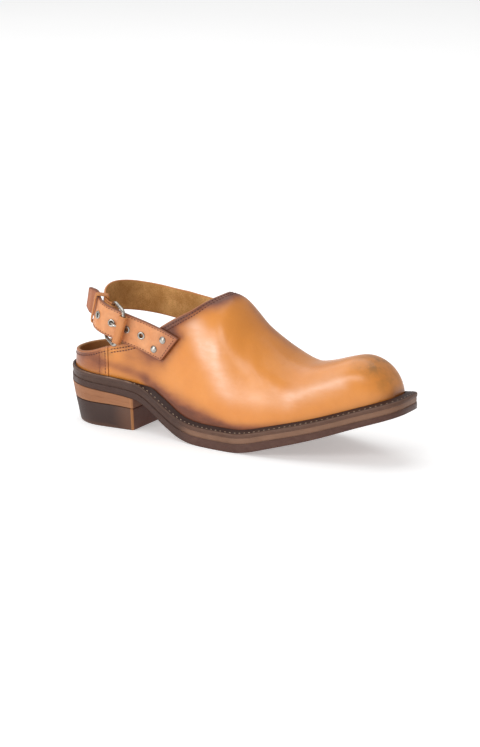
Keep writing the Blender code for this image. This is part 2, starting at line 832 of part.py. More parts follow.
def buckle_box(name, centre, size):
    """A box along the buckle's axes."""
    points = []
    for i in (-0.5, 0.5):
        for j in (-0.5, 0.5):
            for k in (-0.5, 0.5):
                offset = BUCKLE_AXIS * size[0] * i + BUCKLE_UP * size[1] * j + OUTWARD * size[2] * k
                points.append(centre + offset)
    faces = [(0, 1, 3, 2), (4, 6, 7, 5), (0, 4, 5, 1), (2, 3, 7, 6), (0, 2, 6, 4), (1, 5, 7, 3)]
    return add_object(name, points, faces, nickel(), smooth=False)


TAB_AT_HINGE = FOLD_OFFSET + STRAP_THICK / 2 + 2 * GAP + TAB_THICK / 2


def tab_depth(along, at):
    """Where the tab's middle lies outward: on the upper in front, over the strap's fold at the hinge."""
    free = HINGE[1] - TAB_AT_HINGE + TAB_DIP * min(1.0, max(0.0, along / BUCKLE_REACH))
    wall = beside_wall(at[0], at[2], -1, GAP + TAB_THICK / 2 + TAB_CLEAR)[1]
    ease = min(1.0, max(0.0, (along - TAB_SETTLE_FROM) / TAB_SETTLE))
    ease = ease * ease * (3 - 2 * ease)
    return min(wall, free * (1 - ease) + wall * ease)


def tab_row(along):
    """Points across the tab at a distance in front of the hinge, or behind it along the strap."""
    if along >= 0:
        centre = HINGE + BUCKLE_AXIS * along
        row = across(centre, BUCKLE_UP, STRAP_WIDTH, TAB_COLUMNS)
        slant = max(0.0, (along - TAB_REACH + TAB_SLANT_RUN) / TAB_SLANT_RUN)
        placed = []
        for k, point in enumerate(row):
            point = point + BUCKLE_AXIS * TAB_SLANT * slant * (k / (TAB_COLUMNS - 1) - 0.5)
            placed.append(np.array([point[0], tab_depth(along, point), point[2]]))
        return placed
    held = min(-along, KEEPER_PLACE + KEEPER_WIDTH / 2)
    loose = -along - held
    at, direction, up, outward = path_frame(held)
    lift = fold_lift(held) + STRAP_THICK / 2 + 2 * GAP + TAB_THICK / 2
    turn = TAIL_SPRING * min(1.0, loose / TAIL_BEND)
    centre = at + outward * (lift + loose * math.sin(turn)) + direction * loose * math.cos(turn)
    tail = max(0.0, 1 - (TAIL_LENGTH + along) / TAIL_NARROWING)
    width = STRAP_WIDTH * (1 - 0.25 * tail * tail)
    return across(centre + up * TAIL_RISE * loose, up, width, TAB_COLUMNS)


def tab_place(along, rise=0.0):
    """Middle of the tab and its outward direction."""
    row = np.array(tab_row(along))
    ahead = np.array(tab_row(along + STRAP_LEAD))
    share = rise / STRAP_WIDTH + 0.5
    k = share * (TAB_COLUMNS - 1)
    low = int(min(TAB_COLUMNS - 2, k))
    part = k - low
    here = row[low] * (1 - part) + row[low + 1] * part
    there = ahead[low] * (1 - part) + ahead[low + 1] * part
    up = unit(row[low + 1] - row[low])
    outward = unit(np.cross(unit(there - here), up))
    if outward[1] > 0:
        outward = -outward
    return here, outward


def turned(name, centre, axis, profile, finish, ring=True, sides=18):
    """A turned piece from (radius, height) pairs: a ring, or a solid with flat ends on its axis."""
    axis = unit(axis)
    first = unit(np.cross(axis, [0.2, 0.1, 1.0]))
    second = np.cross(axis, first)
    points, faces = [], []
    count = len(profile)
    for k in range(sides):
        turn = 2 * math.pi * k / sides
        direction = math.cos(turn) * first + math.sin(turn) * second
        points += [centre + direction * radius + axis * height for radius, height in profile]
    for k in range(sides):
        m = (k + 1) % sides
        for i in range(count if ring else count - 1):
            j = (i + 1) % count
            faces.append((k * count + i, m * count + i, m * count + j, k * count + j))
    if not ring:
        faces.append(tuple(k * count for k in range(sides)))
        faces.append(tuple(k * count + count - 1 for k in reversed(range(sides))))
    return add_object(name, points, faces, finish)


def make_eyelet(number, along):
    centre, outward = tab_place(along)
    base = TAB_THICK / 2 + GAP
    tube_out = EYELET_HOLE - GAP
    tube_in = tube_out - EYELET_WALL
    profile = (
        (tube_in, -TAB_THICK / 2),
        (tube_out, -TAB_THICK / 2),
        (tube_out, base),
        (EYELET_FLANGE, base),
        (EYELET_FLANGE * 0.92, base + EYELET_RISE * 0.8),
        (tube_out * 1.1, base + EYELET_RISE),
        (tube_in, base + EYELET_RISE * 0.6),
    )
    turned(f"eyelet_{number}", centre, outward, profile, nickel())


def make_rivet(number, along, rise):
    centre, outward = tab_place(along, rise)
    base = TAB_THICK / 2 + GAP
    shank = RIVET_HOLE - GAP
    profile = [(shank, -TAB_THICK / 2), (shank, base), (RIVET_RADIUS, base)]
    for share in RIVET_DOME:
        turn = math.pi / 2 * share
        profile.append((RIVET_RADIUS * math.cos(turn), base + RIVET_RISE * math.sin(turn)))
    turned(f"rivet_{number}", centre, outward, profile, nickel(), ring=False)


def make_tab():
    """Riveted tab with its eyelets, and the loose tail behind the keeper."""
    front = [TAB_REACH * i / TAB_STEPS for i in range(TAB_STEPS, -1, -1)]
    back = [-TAIL_LENGTH * i / TAIL_STEPS for i in range(1, TAIL_STEPS + 1)]
    rows = [tab_row(along) for along in front + back]
    made = sheet("buckle_tab", rows, TAB_THICK, tan_leather())
    for i, along in enumerate(EYELETS):
        centre, outward = tab_place(along)
        cut(made, plug(f"eyelet_hole_{i + 1}", centre, outward, EYELET_HOLE, 3 * TAB_THICK, sides=18))
    for i, (along, rise) in enumerate(RIVETS):
        centre, outward = tab_place(along, rise)
        cut(made, plug(f"rivet_hole_{i + 1}", centre, outward, RIVET_HOLE, 3 * TAB_THICK, sides=12))


def outer_bar_depth():
    """Outward place of the buckle's outer bar, over the tab, the prong and its leather sleeve."""
    tab = tab_place(BUCKLE_REACH)[0][1] - TAB_THICK / 2
    return tab - GAP - PRONG_ROOM - SLEEVE_THICK - GAP - BAR_RADIUS


def make_buckle_frame():
    """A bent wire frame; the hinge bar lies in the strap's fold and the outer bar over the tab."""
    half = STRAP_WIDTH / 2 + FRAME_SPARE + BAR_RADIUS
    corner = FRAME_CORNER
    outer = outer_bar_depth()
    path = []
    for sign_a, sign_b, turn in ((1, 1, 0), (0, 1, 90), (0, -1, 180), (1, -1, 270)):
        centre_a = BUCKLE_REACH - corner if sign_a else corner
        centre_b = sign_b * (half - corner)
        for i in range(6):
            angle = math.radians(turn + 18 * i)
            a = centre_a + corner * math.cos(angle)
            b = centre_b + corner * math.sin(angle)
            y = HINGE[1] + (outer - HINGE[1]) * a / BUCKLE_REACH
            point = HINGE + BUCKLE_AXIS * a + BUCKLE_UP * b
            path.append((point[0], y, point[2]))
    tube("buckle_frame", path, BAR_RADIUS, nickel(), closed=True, sides=10)


def make_sleeve():
    """Leather sleeve round the outer bar."""
    outer = outer_bar_depth()
    centre = HINGE + BUCKLE_AXIS * BUCKLE_REACH
    centre[1] = outer
    inner_a = SLEEVE_WIDTH / 2 - SLEEVE_THICK
    inner_n = BAR_RADIUS + GAP
    length = STRAP_WIDTH - SLEEVE_SHORT
    path = []
    for i in range(20):
        turn = 2 * math.pi * i / 20
        ca, sa = math.cos(turn), math.sin(turn)
        a = math.copysign(abs(ca) ** 0.7, ca) * (inner_a + SLEEVE_THICK / 2)
        n = math.copysign(abs(sa) ** 0.7, sa) * (inner_n + SLEEVE_THICK / 2)
        path.append(centre + BUCKLE_AXIS * a + OUTWARD * n)
    rows = [across(p, BUCKLE_UP, length, 2) for p in path]
    sheet("bar_sleeve", rows, SLEEVE_THICK, tan_leather(), closed=True)


def make_prong():
    """Prong from its loop on the hinge bar, out through the second eyelet and under the sleeve."""
    loop = BAR_RADIUS + GAP + PRONG_RADIUS
    path = []
    for i in range(9):
        turn = math.radians(-200 + 22 * i)
        path.append(HINGE + loop * (math.cos(turn) * BUCKLE_AXIS + math.sin(turn) * OUTWARD))
    eyelet, outward = tab_place(EYELET_FIRST)
    path.append(eyelet - outward * TAB_THICK * 0.5 - BUCKLE_AXIS * PRONG_SLIDE)
    path.append(eyelet + outward * TAB_THICK * 0.7)
    over = eyelet + BUCKLE_AXIS * PRONG_LANDING
    landing = tab_place(EYELET_FIRST + PRONG_LANDING)[0][1]
    over[1] = landing - TAB_THICK / 2 - EYELET_RISE - 3 * GAP - PRONG_RADIUS
    path.append(over)
    tip = HINGE + BUCKLE_AXIS * (BUCKLE_REACH - PRONG_SHORT)
    tip[1] = tab_place(BUCKLE_REACH)[0][1] - TAB_THICK / 2 - GAP - PRONG_RADIUS
    path.append(tip)
    tube("buckle_prong", spline([np.array(p) for p in path], 26), PRONG_RADIUS, nickel(), sides=8)


def make_keeper():
    """Narrow loop that holds the tab's tail to the strap."""
    at, direction, up, outward = path_frame(KEEPER_PLACE)
    inside = -STRAP_THICK / 2 - KEEPER_ROOM
    outside = fold_lift(KEEPER_PLACE) + STRAP_THICK / 2 + 2 * GAP + TAB_THICK + KEEPER_ROOM
    middle, half_n = (inside + outside) / 2, (outside - inside) / 2 + KEEPER_THICK / 2
    half_b = STRAP_WIDTH / 2 + KEEPER_ROOM + KEEPER_THICK / 2
    path = []
    for i in range(28):
        turn = 2 * math.pi * i / 28
        cb, sn = math.cos(turn), math.sin(turn)
        b = math.copysign(abs(cb) ** 0.18, cb) * half_b
        n = math.copysign(abs(sn) ** 0.18, sn) * half_n
        path.append(at + up * b + outward * (middle + n))
    rows = [across(p, direction, KEEPER_WIDTH, 2) for p in path]
    sheet("strap_keeper", rows, KEEPER_THICK, tan_leather(), closed=True)


def centre_on_floor():
    """Puts the origin under the middle of the whole shoe, on the floor."""
    bpy.context.view_layer.update()
    shown = [o for o in bpy.data.objects if not o.hide_render]
    corners = np.array([tuple(v.co) for o in shown for v in o.data.vertices])
    middle = (corners.min(axis=0) + corners.max(axis=0)) / 2
    for made in bpy.data.objects:
        for vertex in made.data.vertices:
            vertex.co.x -= middle[0]
            vertex.co.y -= middle[1]


def outward_faces():
    """Turns every face of each piece to point out."""
    for made in bpy.data.objects:
        work = bmesh.new()
        work.from_mesh(made.data)
        bmesh.ops.recalc_face_normals(work, faces=work.faces)
        work.to_mesh(made.data)
        work.free()


def build():
    for old in list(bpy.data.objects):
        bpy.data.objects.remove(old)
    make_outsole()
    make_midsole()
    make_welt()
    make_heel_rand()
    make_heel()
    make_upper()
    make_insole()
    make_back_strap()
    make_tab()
    for number, along in enumerate(EYELETS, 1):
        make_eyelet(number, along)
    for number, (along, rise) in enumerate(RIVETS, 1):
        make_rivet(number, along, rise)
    make_buckle_frame()
    make_sleeve()
    make_prong()
    make_keeper()
    outward_faces()
    centre_on_floor()


build()
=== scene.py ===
# %% [markdown]
# # A tan leather slingback mule, right shoe
# A mule is a shoe that the foot slides into. This one has a strap round the heel, with a buckle.
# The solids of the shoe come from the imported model. This lesson dresses each of them: every piece is
# made again from the same measures, with many more faces, rounded edges, stitches and a finish.
# Working from the same measures keeps each new piece exactly where its solid lies.

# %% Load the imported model
import math

import bmesh
import bpy
import numpy as np
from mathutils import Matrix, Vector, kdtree


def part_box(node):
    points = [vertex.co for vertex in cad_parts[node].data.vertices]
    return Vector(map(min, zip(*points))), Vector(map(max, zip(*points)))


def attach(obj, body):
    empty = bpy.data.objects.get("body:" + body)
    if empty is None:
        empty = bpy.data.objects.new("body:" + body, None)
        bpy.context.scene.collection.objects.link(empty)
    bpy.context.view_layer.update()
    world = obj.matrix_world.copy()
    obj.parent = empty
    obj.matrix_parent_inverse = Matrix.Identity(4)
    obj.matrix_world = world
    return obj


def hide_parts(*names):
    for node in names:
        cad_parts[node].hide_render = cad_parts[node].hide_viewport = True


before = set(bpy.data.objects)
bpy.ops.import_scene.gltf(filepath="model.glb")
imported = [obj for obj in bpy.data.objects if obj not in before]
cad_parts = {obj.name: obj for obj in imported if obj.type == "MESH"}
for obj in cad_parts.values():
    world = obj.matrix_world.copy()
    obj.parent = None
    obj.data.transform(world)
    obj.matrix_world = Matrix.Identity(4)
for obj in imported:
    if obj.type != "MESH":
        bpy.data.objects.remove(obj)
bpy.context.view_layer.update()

# %% [markdown]
# ## Measures of the shoe
# A shoemaker starts from the last, the wooden foot that the upper is pulled over. Its length, the
# width at the ball, the heel's height and the toe's lift from the floor set everything else.
# Lengths are in metres, measured from the back edge of the sole.

# %% Main sizes
LENGTH = 0.308
BALL_HALF = 0.047
HEEL_HEIGHT = 0.0282
TOE_SPRING = 0.0415
INSTEP_HEIGHT = 0.106
GAP = 0.0003
FEATHER_GAP = 0.0005
OUTSOLE_THICK, MIDSOLE_THICK, WELT_THICK, INSOLE_THICK = 0.0072, 0.0043, 0.0030, 0.0030
HEEL_ROUND, TOE_ROUND = 0.034, 0.030
SOLE_TOE_POWER, HEEL_POWER, UPPER_TOE_POWER = 3.5, 2.2, 2.9
WELT_WIDTH = 0.0055
WELT_RISE, WELT_RISE_RUN, WAIST_RISE = 0.0030, 0.020, 0.0034
BREAST = 0.232 * LENGTH
HEEL_SET_BACK, HEEL_TAPER = 0.0075, 0.93
WEDGE_BACK, WEDGE_FRONT = 0.0134, 0.0086
WALL = 0.0022
COUNTER_STEP, STEP_AT = 0.0008, 0.155 * LENGTH
CROWN_ROUND = 0.038
UPPER_START, UPPER_END = 0.0032, LENGTH - 0.0085
CROWN_END = UPPER_END - 0.033 * TOE_ROUND
SIDE_SWELL = 0.0030
THROAT, FAN_START = 0.466 * LENGTH, 0.31 * LENGTH
HEEL_LEAN = 0.0024
print("sole", LENGTH, "m long,", 2 * BALL_HALF, "m wide at the ball")

# %% [markdown]
# ## Tables of shares
# The form is kept in short tables: at a few stations along the shoe, each row gives shares of the
# main sizes. A smooth curve through each column gives the value anywhere between the rows.
# The curve is averaged over a short stretch, because a shiny surface shows every sudden bend.

# %% Tables
SOLE_ROWS = (
    (0.000, 0.640, 0.640, 0.58, 0.69),
    (0.115, 0.695, 0.685, 0.58, 0.70),
    (0.235, 0.670, 0.650, 0.70, 0.78),
    (0.327, 0.735, 0.640, 0.80, 0.86),
    (0.430, 0.880, 0.780, 0.90, 1.00),
    (0.540, 0.960, 0.940, 1.00, 1.00),
    (0.620, 0.970, 1.045, 1.00, 1.00),
    (0.703, 0.915, 1.035, 1.00, 0.92),
    (0.800, 0.775, 0.875, 1.05, 0.80),
    (0.900, 0.610, 0.670, 1.10, 0.70),
    (1.000, 0.480, 0.530, 1.20, 0.64),
)
UNDERSIDE_ROWS = (
    (0.000, 1.20, 0.00), (0.120, 1.105, 0.00), (0.195, 1.035, 0.00), (0.245, 0.945, 0.00),
    (0.285, 0.730, 0.00), (0.337, 0.370, 0.00), (0.385, 0.125, 0.00), (0.430, 0.02, 0.00),
    (0.465, 0.00, 0.00), (0.560, 0.00, 0.00), (0.605, 0.00, 0.05), (0.657, 0.00, 0.16),
    (0.784, 0.00, 0.44), (0.905, 0.00, 0.76), (1.000, 0.00, 1.00),
)
CROWN_ROWS = (
    (0.000, 0.62, 3.2), (0.200, 0.86, 2.9), (0.350, 0.97, 2.5), (0.466, 1.00, 2.3),
    (0.496, 0.98, 2.3), (0.521, 0.92, 2.2), (0.562, 0.795, 2.1), (0.614, 0.660, 2.1),
    (0.647, 0.570, 2.2), (0.680, 0.490, 2.3), (0.722, 0.432, 2.4), (0.765, 0.425, 2.5),
    (0.815, 0.428, 2.5), (0.866, 0.420, 2.5), (0.910, 0.405, 2.5), (1.000, 0.380, 2.5),
)
COLLAR_ROWS = (
    (0.000, 0.490), (0.050, 0.497), (0.100, 0.520), (0.152, 0.567), (0.230, 0.622), (0.270, 0.673),
    (0.310, 0.745), (0.363, 0.835), (0.400, 0.890), (0.440, 0.964), (0.466, 1.000),
)
print("stations:", len(SOLE_ROWS), "sole,", len(CROWN_ROWS), "crown,", len(COLLAR_ROWS), "collar")


# %% Curves through the tables
def through(rows, column, blur=0.008):
    """A smooth curve through one column that never swings past its rows, slightly averaged."""
    x, y = (np.array([row[c] for row in rows], float) for c in (0, column))
    step = np.diff(x)
    slope = np.diff(y) / step
    tangent = np.zeros_like(y)
    tangent[0], tangent[-1] = slope[0], slope[-1]
    for i in range(1, len(x) - 1):
        if slope[i - 1] * slope[i] > 0:
            before, after = 2 * step[i] + step[i - 1], step[i] + 2 * step[i - 1]
            tangent[i] = (before + after) / (before / slope[i - 1] + after / slope[i])

    def exact(at):
        at = np.clip(at, x[0], x[-1])
        i = np.clip(np.searchsorted(x, at, side="right") - 1, 0, len(x) - 2)
        t = (at - x[i]) / step[i]
        start = (1 + 2 * t) * (1 - t) ** 2 * y[i] + t * (1 - t) ** 2 * step[i] * tangent[i]
        return start + t * t * (3 - 2 * t) * y[i + 1] + t * t * (t - 1) * step[i] * tangent[i + 1]

    def value(metres):
        at = np.asarray(metres, float) / LENGTH
        room = np.minimum(1.0, np.minimum(at - x[0], x[-1] - at).clip(0) / (2 * blur))
        return sum(w * exact(at + k * blur * room) for k, w in zip((-2, -1, 0, 1, 2), (1, 2, 3, 2, 1))) / 9

    return value


outer_share, inner_share, welt_share, outsole_share = (through(SOLE_ROWS, c) for c in (1, 2, 3, 4))
heel_lift, toe_lift = (through(UNDERSIDE_ROWS, c) for c in (1, 2))
crown_share, crown_power = (through(CROWN_ROWS, c) for c in (1, 2))
collar_share = through(COLLAR_ROWS, 1, 0.003)
print("crown at the throat:", round(float(crown_share(THROAT)), 3))


# %% Heights of the sole's layers
def underside(x):
    return HEEL_HEIGHT * heel_lift(x) + TOE_SPRING * toe_lift(x)


def outsole_top(x):
    return underside(x) + OUTSOLE_THICK * outsole_share(x)


def midsole_top(x):
    return outsole_top(x) + GAP + MIDSOLE_THICK


def welt_top(x):
    return midsole_top(x) + GAP + WELT_THICK


def feather(x):
    return midsole_top(x) + FEATHER_GAP


COLLAR_PEAK = float(feather(THROAT)) + INSTEP_HEIGHT
print("peak of the throat:", round(COLLAR_PEAK, 4), "m above the floor")


# %% The last's sections
def rounded(x, start, end, toe_power):
    """Share of the full width that the round heel and toe leave."""
    back = np.clip((start + HEEL_ROUND - x) / HEEL_ROUND, 0, 1)
    front = np.clip((x - end + TOE_ROUND) / TOE_ROUND, 0, 1)
    return (1 - back**HEEL_POWER) ** (1 / HEEL_POWER) * (1 - front**toe_power) ** (1 / toe_power)


def sole_half(x, side):
    share = outer_share(x) if side < 0 else inner_share(x)
    return side * BALL_HALF * share * rounded(x, 0.0, LENGTH, SOLE_TOE_POWER)


def upper_half(x, side):
    share = np.where(np.asarray(side) < 0, outer_share(x), inner_share(x))
    width = BALL_HALF * share - WELT_WIDTH * welt_share(x)
    return side * width * rounded(x, UPPER_START, UPPER_END, UPPER_TOE_POWER)


def crown_height(x):
    reach = np.clip((x - CROWN_END + CROWN_ROUND) / CROWN_ROUND, 0, 1)
    return INSTEP_HEIGHT * crown_share(x) * np.sqrt(1 - reach * reach)


def last_point(x, angle):
    """Outside of the upper; the angle runs from 0 at the outer feather over the crown to pi."""
    side = np.where(angle <= math.pi / 2, -1.0, 1.0)
    power = 2 / crown_power(x)
    across = np.abs(np.cos(angle)) ** power
    rise = np.abs(np.sin(angle)) ** power
    height, half = crown_height(x), upper_half(x, side)
    swell = side * SIDE_SWELL * np.sin(2 * np.minimum(angle, math.pi - angle))
    swell = swell * np.minimum(1.0, np.abs(half) / BALL_HALF * 1.4)
    lean = HEEL_LEAN * np.maximum(0, 1 - (x - UPPER_START) / HEEL_ROUND) ** 2
    lean = lean * np.minimum(1.0, rise * height / HEEL_HEIGHT)
    return np.stack([x + lean, half * across + swell, feather(x) + rise * height], axis=-1)


def angle_at(x, height):
    rise = np.clip((height - feather(x)) / np.maximum(crown_height(x), 1e-6), 0, 1)
    return np.arcsin(np.minimum(1.0, rise ** (crown_power(x) / 2)))


def collar_height(x):
    return COLLAR_PEAK * collar_share(x)


print("ball of the last:", last_point(np.array(0.6 * LENGTH), np.array(0.4)))


# %% Points beside the wall
def side_point(x, height, side):
    angle = angle_at(x, min(height, collar_height(x)))
    point = last_point(x, angle if side < 0 else math.pi - angle)
    return np.array([x, point[1], height])


def beside_wall(x, height, side, distance):
    """A point level with the wall's outside, moved off it square to the wall."""
    low = min(height, collar_height(x) - WALL)
    here = side_point(x, low, side)
    slope_up = (side_point(x, low + WALL, side)[1] - here[1]) / WALL
    slope_on = (side_point(x + WALL, low, side)[1] - here[1]) / WALL
    here[1] += side * distance * math.sqrt(1 + slope_up**2 + slope_on**2)
    here[2] = height
    return here


def eased(share):
    """A share from 0 to 1 that starts and stops softly."""
    return share * share * (3 - 2 * share)


def run_along(path):
    """Distance from a path's start to each of its points."""
    return np.concatenate([[0], np.cumsum(np.linalg.norm(np.diff(path, axis=0), axis=1))])


def point_at(distance, run, path):
    return np.array([np.interp(distance, run, path[:, k]) for k in range(3)])


def unit(vector):
    vector = np.asarray(vector, float)
    return vector / np.maximum(np.linalg.norm(vector, axis=-1, keepdims=True), 1e-12)


def grid_normals(grid, closed):
    along = np.roll(grid, -1, axis=0) - np.roll(grid, 1, axis=0) if closed else np.gradient(grid, axis=0)
    return unit(np.cross(along, np.gradient(grid, axis=1)))


print("wall at the strap:", beside_wall(FAN_START, 0.09, 1, 0.0))

# %% [markdown]
# ## Making pieces
# Every piece is a mesh of points and faces. Values such as the distance from an edge are stored on
# the points as attributes, and the finishes read them. The first cell finds how far the packed
# model's origin lies from the heel's back edge.

# %% Outline of the sole and the place of the origin
def stations(start, end, count, crowd=0.004):
    turn = math.pi * np.linspace(crowd, 1 - crowd, count)
    return start + (end - start) * (0.5 - 0.5 * np.cos(turn))


def plan_loop(half, places):
    """Closed outline: out along the outer side and back along the inner side."""
    outer = np.stack([places, half(places, -1)], axis=1)
    inner = np.stack([places, half(places, 1)], axis=1)[::-1]
    return np.concatenate([outer, inner])


def moved_in(loop, distance):
    edge = np.roll(loop, -1, axis=0) - np.roll(loop, 1, axis=0)
    return loop + np.asarray(distance)[..., None] * unit(np.stack([-edge[:, 1], edge[:, 0]], axis=1))


SEAM = 0.00005
SOLE_PLACES = np.sort(np.append(stations(0.0, LENGTH, 190), [BREAST - SEAM, BREAST]))
SOLE_LOOP = plan_loop(sole_half, SOLE_PLACES)
low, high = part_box("outsole")
SHIFT = np.zeros(3)
SHIFT[:2] = (SOLE_LOOP.min(axis=0) + SOLE_LOOP.max(axis=0)) / 2 - (np.array(low)[:2] + np.array(high)[:2]) / 2
print("origin lies at", SHIFT[:2], "from the heel's back edge")


# %% Helpers that add a piece
MILLI = 0.001


def add_piece(name, points, faces, nodes, slot, attributes=None, sharp=50, inner_from=None):
    """A new piece in the model's frame. Faces from number inner_from on take the second finish."""
    mesh = bpy.data.meshes.new(name)
    points = np.asarray(points, float).reshape(-1, 3) - SHIFT
    mesh.from_pydata(points.tolist(), [], [tuple(int(i) for i in face) for face in faces])
    work = bmesh.new()
    work.from_mesh(mesh)
    bmesh.ops.recalc_face_normals(work, faces=work.faces)
    work.to_mesh(mesh)
    work.free()
    for key, values in (attributes or {}).items():
        layer = mesh.attributes.new(key, "FLOAT", "POINT")
        layer.data.foreach_set("value", np.asarray(values, np.float32).ravel())
    if inner_from is not None:
        index = (np.arange(len(mesh.polygons)) >= inner_from).astype(np.int32)
        mesh.polygons.foreach_set("material_index", index)
    mesh.shade_smooth()
    mesh.set_sharp_from_angle(angle=math.radians(sharp))
    piece = bpy.data.objects.new(name, mesh)
    bpy.context.scene.collection.objects.link(piece)
    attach(piece, "root")
    if nodes:
        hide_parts(*nodes)
    print(name, len(mesh.polygons), "faces")
    return piece


def grid_faces(rows, columns, closed_rows=False, closed_columns=False, capped=False):
    """Quads of a grid of points stored row by row, with its first and last row filled if capped."""
    r = np.arange(rows if closed_rows else rows - 1)
    c = np.arange(columns if closed_columns else columns - 1)
    r, c = (a.ravel() for a in np.meshgrid(r, c, indexing="ij"))
    q, d = (r + 1) % rows, (c + 1) % columns
    quads = np.stack([r * columns + c, q * columns + c, q * columns + d, r * columns + d], axis=1)
    caps = [tuple(range(start, start + columns)) for start in (0, (rows - 1) * columns)]
    return quads.tolist() + (caps if capped else [])


# %% Bands of leather with rounded edges
EDGE_TURNS = np.radians([90, 66, 40, 14, -14, -40, -66, -90])
END_TURNS = np.radians([84, 58, 30])


def band(rows, thickness, closed=False, softness=0.42):
    """A strip of leather along rows of points across it: points, faces and attributes."""
    rows = np.asarray(rows, float)
    count, width = rows.shape[:2]
    soft = softness * thickness
    normals = grid_normals(rows, closed)
    scale = np.ones(count)
    if not closed:
        for _ in range(2):  # rounds the first end, then turns the strip round for the other
            inward = unit(rows[1] - rows[0]) * soft
            extra = [rows[0] + inward * (1 - math.sin(t)) for t in END_TURNS]
            rows = np.concatenate([extra, [rows[0] + inward], rows[1:]])[::-1]
            normals = np.concatenate([np.repeat(normals[:1], len(END_TURNS), axis=0), normals])[::-1]
            scale = np.concatenate([np.cos(END_TURNS), scale])[::-1]
    count = len(rows)
    half = (thickness / 2 * scale)[:, None, None]
    first, last = unit(rows[:, 0] - rows[:, 1]), unit(rows[:, -1] - rows[:, -2])
    parts, side, edge = [], [], []
    across = np.linalg.norm(np.diff(rows, axis=1), axis=2)
    from_first = np.concatenate([np.zeros((count, 1)), np.cumsum(across, axis=1)], axis=1)
    to_edge = np.minimum(from_first, from_first[:, -1:] - from_first) / MILLI

    def add(points, sign, distance):
        parts.append(points)
        side.append(np.broadcast_to(sign, points.shape[:2]))
        edge.append(np.broadcast_to(distance, points.shape[:2]))

    add(rows[:, 1:-1] + normals[:, 1:-1] * half, 1.0, to_edge[:, 1:-1])
    for turn in EDGE_TURNS:
        out = last * soft * (math.cos(turn) - 1) + normals[:, -1] * half[:, 0] * math.sin(turn)
        add((rows[:, -1] + out)[:, None], math.sin(turn), 0.0)
    add((rows[:, 1:-1] - normals[:, 1:-1] * half)[:, ::-1], -1.0, to_edge[:, 1:-1][:, ::-1])
    for turn in EDGE_TURNS[::-1]:
        out = first * soft * (math.cos(turn) - 1) + normals[:, 0] * half[:, 0] * math.sin(turn)
        add((rows[:, 0] + out)[:, None], math.sin(turn), 0.0)
    points = np.concatenate(parts, axis=1)
    ring = points.shape[1]
    faces = grid_faces(count, ring, closed, True, not closed)
    along = run_along(rows[:, width // 2]) / MILLI
    end_mm = np.minimum(along, along[-1] - along) if not closed else np.full(count, 99.0)
    edge = np.minimum(np.concatenate(edge, axis=1), end_mm[:, None])
    values = {"side": np.concatenate(side, axis=1), "edge_mm": edge}
    values["along_mm"] = np.repeat(along[:, None], ring, axis=1)
    return points.reshape(-1, 3), faces, values


# %% Round wire and turned pieces
def wire(path, radii, closed=False, sides=20):
    """Points and faces of a round wire along a path."""
    path, count = np.asarray(path, float), len(path)
    tangent = unit(np.roll(path, -1, 0) - np.roll(path, 1, 0)) if closed else unit(np.gradient(path, axis=0))
    side = unit(np.cross(tangent[0], [0.3, 0.1, 1.0]))
    points = []
    for i in range(count):
        side = unit(side - tangent[i] * side.dot(tangent[i]))
        other = np.cross(tangent[i], side)
        turn = 2 * np.pi * np.arange(sides)[:, None] / sides
        points.append(path[i] + radii[i] * (np.cos(turn) * side + np.sin(turn) * other))
    return np.concatenate(points), grid_faces(count, sides, closed, True, not closed)


def turned(centre, axis, profile, ring=True, sides=40):
    """Points and faces of a turned piece from (radius, height) pairs."""
    axis = unit(axis)
    first = unit(np.cross(axis, [0.2, 0.1, 1.0]))
    second = np.cross(axis, first)
    profile = np.array(profile)
    turn = 2 * np.pi * np.arange(sides)[:, None, None] / sides
    direction = np.cos(turn) * first + np.sin(turn) * second
    points = centre + direction * profile[None, :, :1] + axis * profile[None, :, 1:]
    count = len(profile)
    faces = grid_faces(sides, count, True, ring)
    if not ring:
        faces += [tuple(k * count for k in range(sides)), tuple(k * count + count - 1 for k in range(sides))]
    return points.reshape(-1, 3), faces


def join(parts):
    """Several (points, faces) in one."""
    points, faces, start = [], [], 0
    for part_points, part_faces in parts:
        points.append(part_points)
        faces += [tuple(i + start for i in face) for face in part_faces]
        start += len(part_points)
    return np.concatenate(points), faces


# %% Stitches of thread
STITCH_PLACES = np.array([-1.0, -0.72, -0.25, 0.25, 0.72, 1.0])
STITCH_WIDTHS = np.array([0.35, 0.85, 1.0, 1.0, 0.85, 0.35])
STITCH_SINK = np.array([-1.5, -0.45, 0.0, 0.0, -0.45, -1.5])
THREAD_SIDES = 7


def thread_row(path, outward, pitch, length, radius, lift=0.0):
    """Short stitches that dive into the leather at both ends, along a path on its surface."""
    path, outward = np.asarray(path, float), unit(outward)
    run = run_along(path)
    parts = []
    for at in np.arange(pitch / 2, run[-1], pitch):
        ends = [point_at(s, run, path) for s in (at - length / 2, at + length / 2)]
        normal = unit(point_at(at, run, outward))
        ahead = unit(ends[1] - ends[0])
        normal = unit(normal - ahead * normal.dot(ahead))
        beside = np.cross(ahead, normal)
        middle = (ends[0] + ends[1]) / 2 + normal * lift
        turn = 2 * np.pi * np.arange(THREAD_SIDES)[:, None] / THREAD_SIDES
        circle = np.cos(turn) * beside + np.sin(turn) * normal
        rings = [
            middle + ahead * length / 2 * place + normal * radius * sink + circle * radius * wide
            for place, wide, sink in zip(STITCH_PLACES, STITCH_WIDTHS, STITCH_SINK)
        ]
        parts.append((np.concatenate(rings), grid_faces(len(rings), THREAD_SIDES, False, True, True)))
    return parts

# %% [markdown]
# ## The upper
# The upper of the real shoe is calf leather, wet and pulled over the last, then stitched to the welt
# and waxed. It could be sculpted by hand, but here it is a grid: each column runs from the feather
# line, where it meets the sole, up to the collar. At the heel a second layer, the counter, stands
# proud, so two columns lie close together at its front edge.

# %% Columns and rows of the upper
SIDE_COLUMNS, FAN_COLUMNS, FAN_FOOT = 58, 132, 0.88
ROWS = 84
STEP_WIDTH = 0.00035


